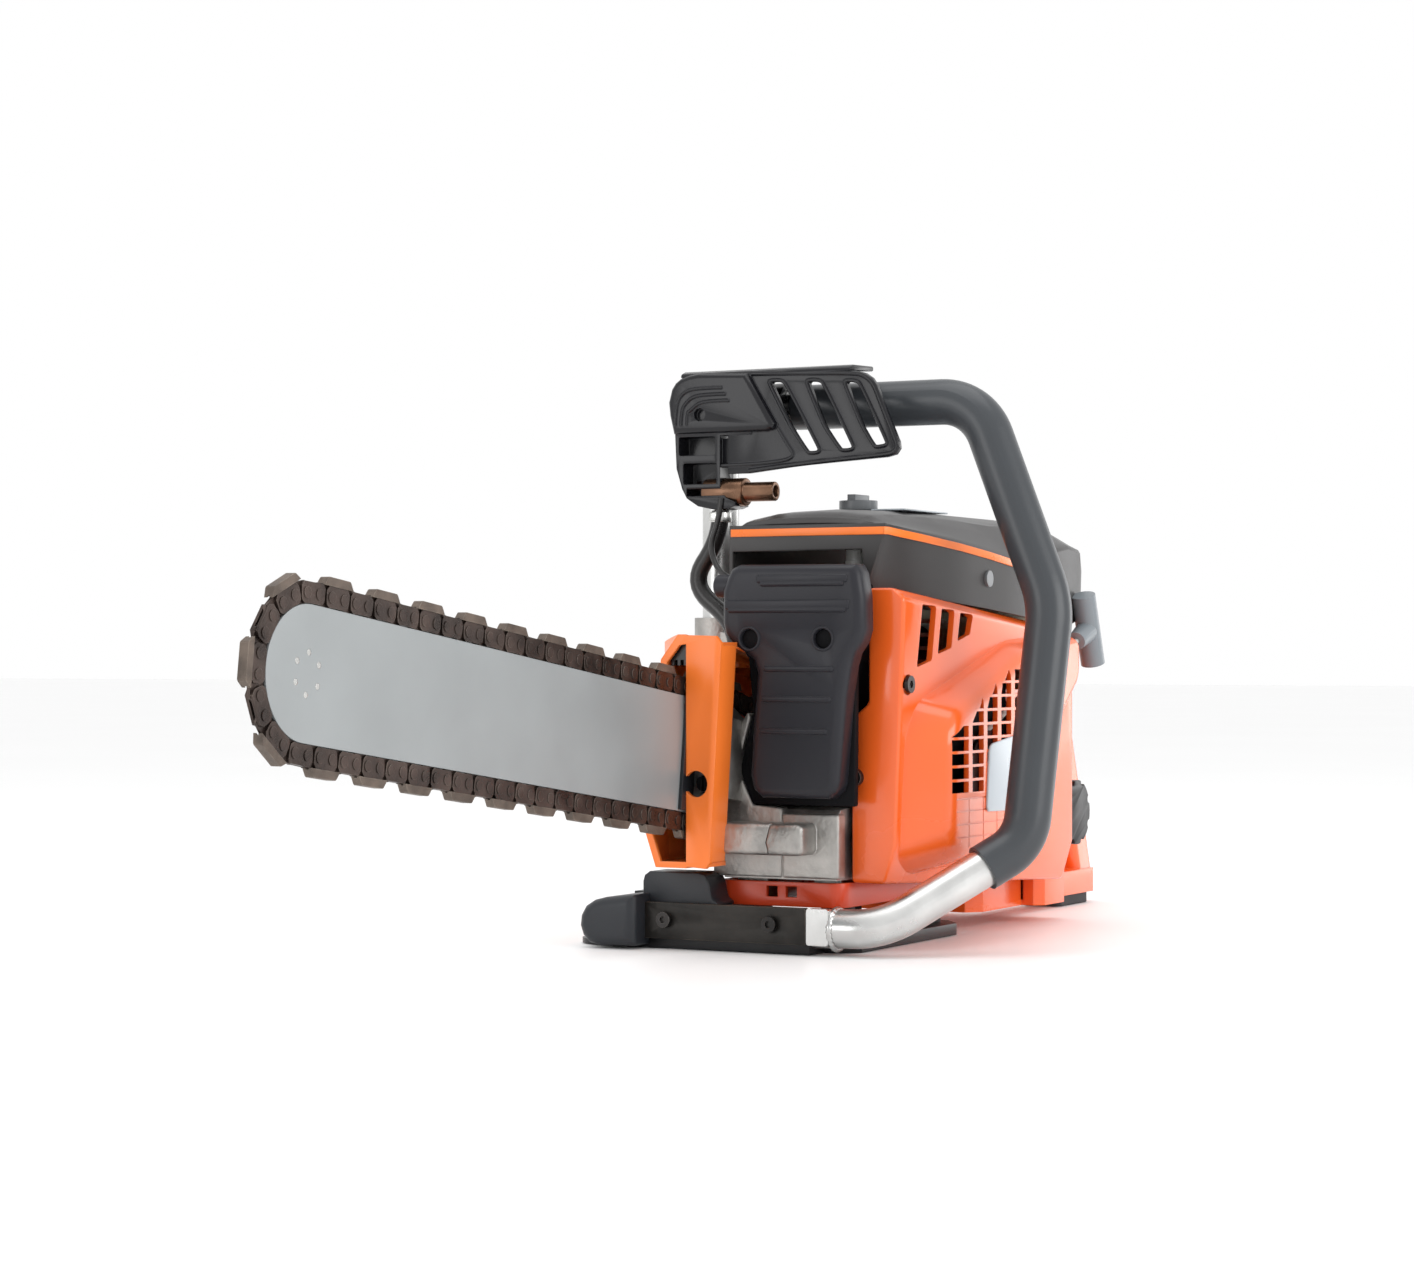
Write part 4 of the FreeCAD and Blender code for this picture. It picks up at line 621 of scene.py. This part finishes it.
brow = pressed("brow", [(-16, 236), (-16, 276), (98.4, 276), (98.4, 272), (85.6, 236), (84.2, 236),
                        (81.4, 259.2), (-13.3, 258.8), (-13.3, 236)], "x", 42, 46.5)
ease(brow, 0.7, 2)
put_together(hood, [brow])
hand_over(hood, HOOD_GREY, instead=["top_cover"])

STRIPE_ORANGE = finish("stripe_orange", (0.90, 0.19, 0.02), 0.30, relief=0.02, blotches=0.04)
stripe = lofted("shoulder_stripe", [
    across("y", -14.5, [(46.4, 268.6), (47.2, 268.6), (47.2, 273.6), (46.4, 273.6)]),
    across("y", 97.6, [(46.4, 268.6), (47.2, 268.6), (47.2, 273.6), (46.4, 273.6)])])
stripe_side = lofted("stripe_side", [
    [(x, left, low), (x, left + 0.9, low), (x, left + 0.9, low + 5), (x, left, low + 5)]
    for x, left, low in ((47.2, 97.0, 268.6), (44, 98.9, 268.5), (34, 102.6, 267), (12, 107.7, 264.6),
                         (-30, 115.8, 259.8), (-70, 120.3, 255), (-110, 124.8, 249.3))])
put_together(stripe, [stripe_side])
ease(stripe, 0.25, 2, 50.0)
hand_over(stripe, STRIPE_ORANGE, instead=["cover_stripe"])

roof_sticker = pressed("roof_sticker", [(-96, 52), (-20, 56), (-22, 80), (-96, 78)], "z", 287.2, 288.3)
ease(roof_sticker, 0.3, 2)
hand_over(roof_sticker, LABEL_WHITE)

KNOB_GREY = finish("knob_grey", (0.17, 0.18, 0.19), 0.34, relief=0.08, blotches=0.12, rub=(0.4, 0.4, 0.4))
knob = merged_copy("cover_knob", "hood_knob")
ease(knob, 1.2, 3)
hand_over(knob, KNOB_GREY, "cover_fastener", ["cover_knob"])
dress("decompression_valve", KNOB_GREY)

# ---- Tank, rear grip and its levers ----
# The orange tank and closed rear grip in one moulding. The levers turn on pins in it, the
# cap screws into it, and the stop switch sits on top.
tank = merged_copy("fuel_tank", "tank_and_grip")
ease(tank, 3.0, 4)
hand_over(tank, HOUSING_ORANGE, instead=["fuel_tank"])
cap = merged_copy("fuel_cap", "tank_cap")
ease(cap, 0.8, 2)
hand_over(cap, BLACK, "filler_cap", ["fuel_cap"])
for node, body, width in (("throttle_trigger", "trigger", 1.2), ("throttle_lockout", "lockout", 1.2),
                          ("stop_switch", "stop_button", 0.6)):
    lever = merged_copy(node, node + "_shape")
    ease(lever, width, 3)
    hand_over(lever, BLACK, body, [node])

# ---- Starter grip and rope ----
# A grey moulded grip on a woven rope that runs through the housing's guide to the pulley.
ROPE_WOVEN = finish("rope_weave", (0.60, 0.60, 0.57), 0.8, grain=420.0, relief=0.6, blotches=0.15)
GRIP_GREY = finish("grip_grey", (0.20, 0.225, 0.245), 0.34, relief=0.05, blotches=0.06, rub=(0.38,
                   0.40, 0.42))
grip = merged_copy("starter_handle", "pull_grip")
ease(grip, 3.0, 5)
hand_over(grip, GRIP_GREY, "grip", ["starter_handle"])
PULL_WAY = Vector((-0.9355846, 0.0, 0.3531026))
ROPE_START = Vector((-21.466, 131.0, 133.261)) * MM
side_way = Vector((0.0, 1.0, 0.0))
over_way = PULL_WAY.cross(side_way)
ROPE_RUN = 202.8
ROPE_R = 2.0
ROPE_STEPS = 13
rope_rings = []
for step in range(ROPE_STEPS + 1):
    middle = ROPE_START / MM + PULL_WAY * ROPE_RUN * step / ROPE_STEPS
    ring = []
    for k in range(10):
        turn = k * math.pi / 5
        ring.append(tuple(middle + ROPE_R * (math.cos(turn) * side_way + math.sin(turn) * over_way)))
    rope_rings.append(ring)
rope = lofted("pull_rope", rope_rings)
smooth(rope, 40.0)
rope.data.materials.clear()
rope.data.materials.append(ROPE_WOVEN)
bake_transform(rope)
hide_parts("starter_rope")
dress("starter_pulley", BLACK)

# ---- Front handle ----
# A bent aluminium tube welded to an end plate, with a dark rubber sleeve over its side
# and top where the hand holds it.
TUBE = finish("bare_tube", (0.60, 0.60, 0.59), 0.30, metallic=1.0, grain=160.0, relief=0.08, blotch=26.0,
              blotches=0.16, gloss_change=0.12)
SLEEVE = finish("handle_rubber", (0.046, 0.051, 0.057), 0.30, shine=0.4, grain=1600.0, relief=0.04,
                blotches=0.04, gloss_change=0.02)
dress("front_handle", TUBE)
dress("handle_sleeve", SLEEVE)
TUBE_END_X = 88
TUBE_END_Z = 16.5
set_down()
bpy.ops.mesh.primitive_torus_add(location=(TUBE_END_X * MM, 84.5 * MM, TUBE_END_Z * MM),
                                 rotation=(math.radians(90), 0, 0), major_radius=12.6 * MM,
                                 minor_radius=2.0 * MM, major_segments=72, minor_segments=10)
bead = bpy.context.object
bead.name = "weld_bead"
bpy.ops.object.transform_apply(location=True, rotation=True, scale=True)
WELD_RIPPLES = 23.0
RIPPLE_DEPTH = 0.45
for vertex in bead.data.vertices:
    turn = math.atan2(vertex.co.z - TUBE_END_Z * MM, vertex.co.x - TUBE_END_X * MM)
    vertex.co.y += RIPPLE_DEPTH * MM * math.sin(turn * WELD_RIPPLES)
    vertex.co.z = max(vertex.co.z, 1.0 * MM)
bpy.ops.object.shade_smooth()
hand_over(bead, TUBE)

# ---- Hand guard ----
# A glossy black moulding before the top of the handle: a plate with three slanted slots
# and raised rims, and a crowned block at its right end with ribs, pockets and a screw.
GLOSS_BLACK = finish("gloss_black", (0.007, 0.007, 0.009), 0.20, shine=0.35, grain=420.0, relief=0.03,
                     blotch=10.0, blotches=0.15, gloss_change=0.05, rub=(0.08, 0.08, 0.09))


def bead_along(name, points, radius, closed):
    """A round rod in millimetres along a smooth line that the points pull into shape."""
    curve = bpy.data.curves.new(name, "CURVE")
    curve.dimensions = "3D"
    curve.bevel_depth = radius * MM
    curve.bevel_resolution = 3
    curve.use_fill_caps = True
    curve.resolution_u = 6
    line = curve.splines.new("NURBS")
    line.points.add(len(points) - 1)
    for spot, point in zip(line.points, points):
        spot.co = (*[c * MM for c in point], 1.0)
    line.use_cyclic_u = closed
    line.order_u = 3
    line.use_endpoint_u = not closed
    piece = bpy.data.objects.new(name, curve)
    bpy.context.scene.collection.objects.link(piece)
    pick_up(piece)
    bpy.ops.object.convert(target="MESH")
    bpy.ops.object.shade_smooth()
    made = bpy.context.view_layer.objects.active
    set_down()
    return made


PLATE_OUTLINE = [(-30, 312), (-14, 312), (23.5, 316), (88, 320), (94, 321.6), (96.8, 325.5), (96.2, 330),
                 (83.8, 358.5), (80.5, 367), (77, 372.2), (72, 375.6), (65, 377.4), (6.5, 379.4), (-14, 380),
                 (-30, 380)]
guard_plate = pressed("guard_plate", PLATE_OUTLINE, "x", 18, 22)
SLOT_HOLES = ([(2.3, 372.4), (13.3, 372), (37.8, 325.8), (29.4, 325.2), (17.6, 342.7)],
              [(30.2, 371.6), (41.2, 371), (62.8, 326.8), (53.8, 326.2), (42.8, 341.8)],
              [(57.9, 370.3), (68.2, 369.4), (87.2, 328.8), (78.6, 327.6), (70.3, 340.9)])
RIM_WIDER = 1.13
RIM_TALLER = 1.05
guard_bits = []
for hole in SLOT_HOLES:
    slot = pressed("slot", hole, "x", 14, 26)
    bevel_edges(slot, 2.4, 4, lambda a, b: abs(a.x - b.x) > 1.0)
    cut_away(guard_plate, slot)
    middle_y = sum(y for y, z in hole) / len(hole)
    middle_z = sum(z for y, z in hole) / len(hole)
    rim_line = [(22.0, middle_y + (y - middle_y) * RIM_WIDER, middle_z + (z - middle_z) * RIM_TALLER)
                for y, z in hole]
    rim_points = []
    for here, onward in zip(rim_line, rim_line[1:] + rim_line[:1]):
        for share in (0.08, 0.92):
            rim_points.append(tuple(a + (b - a) * share for a, b in zip(here, onward)))
    guard_bits.append(bead_along("slot_rim", rim_points, 1.3, True))
ease(guard_plate, 0.8, 3)
edge_line = [(21.6, y, z) for y, z in [(-14, 313.6), (23.5, 317.6), (87.5, 321.6), (92.6, 322.8), (95.2, 326),
                                       (94.6, 330), (82.4, 358), (79, 366.4), (75.6, 371), (71, 374.2),
                                       (64.5, 376), (6.5, 378), (-12, 378.6)]]
guard_bits.append(bead_along("edge_rim", edge_line, 1.7, False))

end_block = pressed("end_block", [(-74, 361), (-71.4, 370.3), (-68, 374.6), (-64, 377.4), (-57, 379.4),
                                  (-50, 380.3), (-12, 380), (-12, 338), (-35.4, 338), (-35.4, 303),
                                  (-31, 296), (-24, 293), (-24, 290.5), (-28, 289), (-40, 288.2),
                                  (-52.1, 290.7), (-60.8, 296.2), (-64.3, 302.4), (-68.7, 316.4),
                                  (-69.8, 339.5), (-73.1, 351.9)], "x", 4, 23.4)
for low_y, high_y, low_z, high_z in ((-67, -39, 325, 337.6), (-63.6, -38, 305.5, 319.8)):
    pocket = pressed("pocket", box_outline(low_y, high_y, low_z, high_z), "x", 9, 26)
    bevel_edges(pocket, 1.4, 3, lambda a, b: abs(a.x - b.x) > 1.0)
    cut_away(end_block, pocket)
WATER_X = 14
cut_away(end_block, pressed("water_way", round_outline(WATER_X, 300, 9.7), "y", -61, -18))
cut_away(end_block, pressed("hose_way", round_outline(WATER_X, -40, 7.7), "z", 280, 300))
ease(end_block, 1.3, 3)
guard_bits.append(end_block)

crown = pressed("crown", [(-73.4, 361), (-71, 370), (-68, 374.2), (-64, 377), (-57, 379), (-50, 379.9),
                          (-13.5, 378.6), (7.4, 344.6), (6.2, 341), (1, 339.6), (-69.4, 339.6),
                          (-72.4, 352)], "x", 20, 28)
bevel_edges(crown, 4.0, 6, lambda a, b: a.x > 27.9 and b.x > 27.9)
cut_away(crown, pressed("screw_well", round_outline(-48.5, 352, 4.4, 28), "x", 21.4, 30))
ease(crown, 0.4, 2, 40.0)
guard_bits.append(crown)
for reach in (0.0, 4.4, 8.8):
    arc = [(27.9, y, z) for y, z in ((-67 + reach, 345), (-66.6 + reach, 354),
                                     (-64.4 + reach, 363.5 - reach), (-58 + reach, 368.8 - reach),
                                     (-46 + reach, 369.8 - reach), (-31 + reach * 0.6, 369.6 - reach))]
    guard_bits.append(bead_along("grip_rib", arc, 1.2, False))
shelf = pressed("shelf", [(-36, 336), (14, 336), (22, 319), (-10, 316.4), (-36, 316.4)], "x", 18, 20)
ease(shelf, 0.6, 2)
guard_bits.append(shelf)
guard_bits.append(bead_along("lower_rib", [(21.5, -35, 317.8), (21.5, -10, 318), (21.5, 22, 320.5),
                                           (21.5, 14.5, 331), (21.5, 7.5, 342)], 1.4, False))
roof_plate = pressed("roof_plate", [(23.4, 377.4), (22.4, 380.2), (18, 381.8), (-12, 382.8), (-12, 379.4),
                                    (16, 377.6)], "y", -66, 62)
ease(roof_plate, 1.2, 3)
guard_bits.append(roof_plate)
side_wall = pressed("side_wall", [(-76, 332), (-74, 374), (-71, 378), (-70, 376), (-71.6, 332), (-64, 304),
                                  (-68, 302)], "x", -34, 12)
cut_away(side_wall, pressed("side_gap", box_outline(-40, -6, 290, 344), "y", -82, -40))
ease(side_wall, 1.0, 3)
guard_bits.append(side_wall)
clamp_bar = pressed("clamp_bar", [(-36, 374), (18, 374), (18, 381), (-36, 382)], "y", -44, -30)
ease(clamp_bar, 1.2, 3)
guard_bits.append(clamp_bar)
for low_z in (322, 340, 366):
    web_rib = pressed("web_rib", box_outline(-4, 19, low_z, low_z + 3), "y", -71, -28)
    ease(web_rib, 0.8, 2)
    guard_bits.append(web_rib)
HANDLE_X = -20
HANDLE_TOP = 358
strap = pressed("strap", round_outline(HANDLE_X, HANDLE_TOP, 17, 40), "y", -20, -4)
lug = pressed("lug", box_outline(-20, 19, 350, 366), "y", -20, -4)
use_modifier(strap, "BOOLEAN", operation="UNION", solver="EXACT", object=lug)
bpy.data.objects.remove(lug)
cut_away(strap, pressed("tube_way", round_outline(HANDLE_X, HANDLE_TOP, 12.55, 40), "y", -24, 0))
ease(strap, 1.0, 2, 40.0)
guard_bits.append(strap)
put_together(guard_plate, guard_bits)
hand_over(guard_plate, GLOSS_BLACK, instead=["hand_guard"])

# ---- Water inlet and hose ----
# A brass nipple for the garden hose, and a short rubber hose clamped under it that bows
# out and back in to a boss on the bar guard. A thin cable runs beside it.
AGED_BRASS = finish("aged_brass", (0.19, 0.105, 0.065), 0.30, metallic=0.9, grain=500.0,
                    relief=0.1, blotch=60.0,
                    blotches=0.35, rub=(0.45, 0.30, 0.20))
inlet = merged_copy("water_inlet", "hose_nipple")
ease(inlet, 0.7, 2, 40.0)
hand_over(inlet, AGED_BRASS, instead=["water_inlet"])
HOSE_RUBBER = finish("hose_rubber", (0.012, 0.011, 0.011), 0.28, grain=700.0, relief=0.05, blotches=0.2)
hose = bead_along("bowed_hose", [(14, -40, 288), (14, -40, 269.6), (14, -64.2, 238.2), (14, -28, 212),
                                 (14, -28, 196)], 6.0, False)
hand_over(hose, HOSE_RUBBER, instead=["water_hose"])
cable = bead_along("stop_cable", [(24, -34, 296), (24, -36, 280), (26, -42, 264), (30, -34, 248),
                                  (38, -20, 241),
                                  (40, -12, 240)], 2.0, False)
hand_over(cable, HOSE_RUBBER)
clip = merged_copy("hose_clamp", "hose_clip")
ease(clip, 0.4, 2, 40.0)
hand_over(clip, BRIGHT, instead=["hose_clamp"])

# ---- Bar, nose wheel and chain ----
# A flat ground bar with a riveted nose wheel, and a riveted chain with sintered diamond
# blocks on every second strap, dark with slurry and oil.
BAR = finish("ground_bar", (0.33, 0.35, 0.355), 0.45, metallic=0.35, grain=1200.0, relief=0.03, blotches=0.05,
             gloss_change=0.04)
CHAIN = finish("oiled_chain", (0.062, 0.044, 0.037), 0.36, metallic=0.7, grain=700.0, relief=0.2, blotch=60.0,
               blotches=0.45, gloss_change=0.12, rub=(0.34, 0.29, 0.25), edge=0.0005)
SEGMENT = finish("sintered_block", (0.125, 0.097, 0.078), 0.52, metallic=0.45, grain=1800.0,
                 relief=0.5, blotch=80.0, blotches=0.35, rub=(0.42, 0.36, 0.30))
dress("guide_bar", BAR)
dress("nose_rivets", BRIGHT)
dress("nose_sprocket", GROUND_STEEL)
for node in ("chain_tie_straps", "chain_drive_links", "chain_rivets"):
    dress(node, CHAIN)
dress("chain_segments", SEGMENT)

# ---- Bar guard ----
# The orange moulded guard over the clutch and the bar's root, with a toothed rubber flap
# in its mouth and a wear strip beside the bar.
GUARD_ORANGE = finish("guard_orange", (0.88, 0.19, 0.026), 0.34, grain=600.0, relief=0.04, blotch=9.0,
                      blotches=0.05, rub=(1.0, 0.42, 0.17), edge=0.0012)
guard = merged_copy("bar_guard", "chain_guard")
ease(guard, 1.4, 3)
hand_over(guard, GUARD_ORANGE, instead=["bar_guard"])
dress("spray_flap", HOSE_RUBBER)
dress("chain_tensioner", SHIELD_BLACK)
dress("bar_guide_strip", FOOT_PAINT)
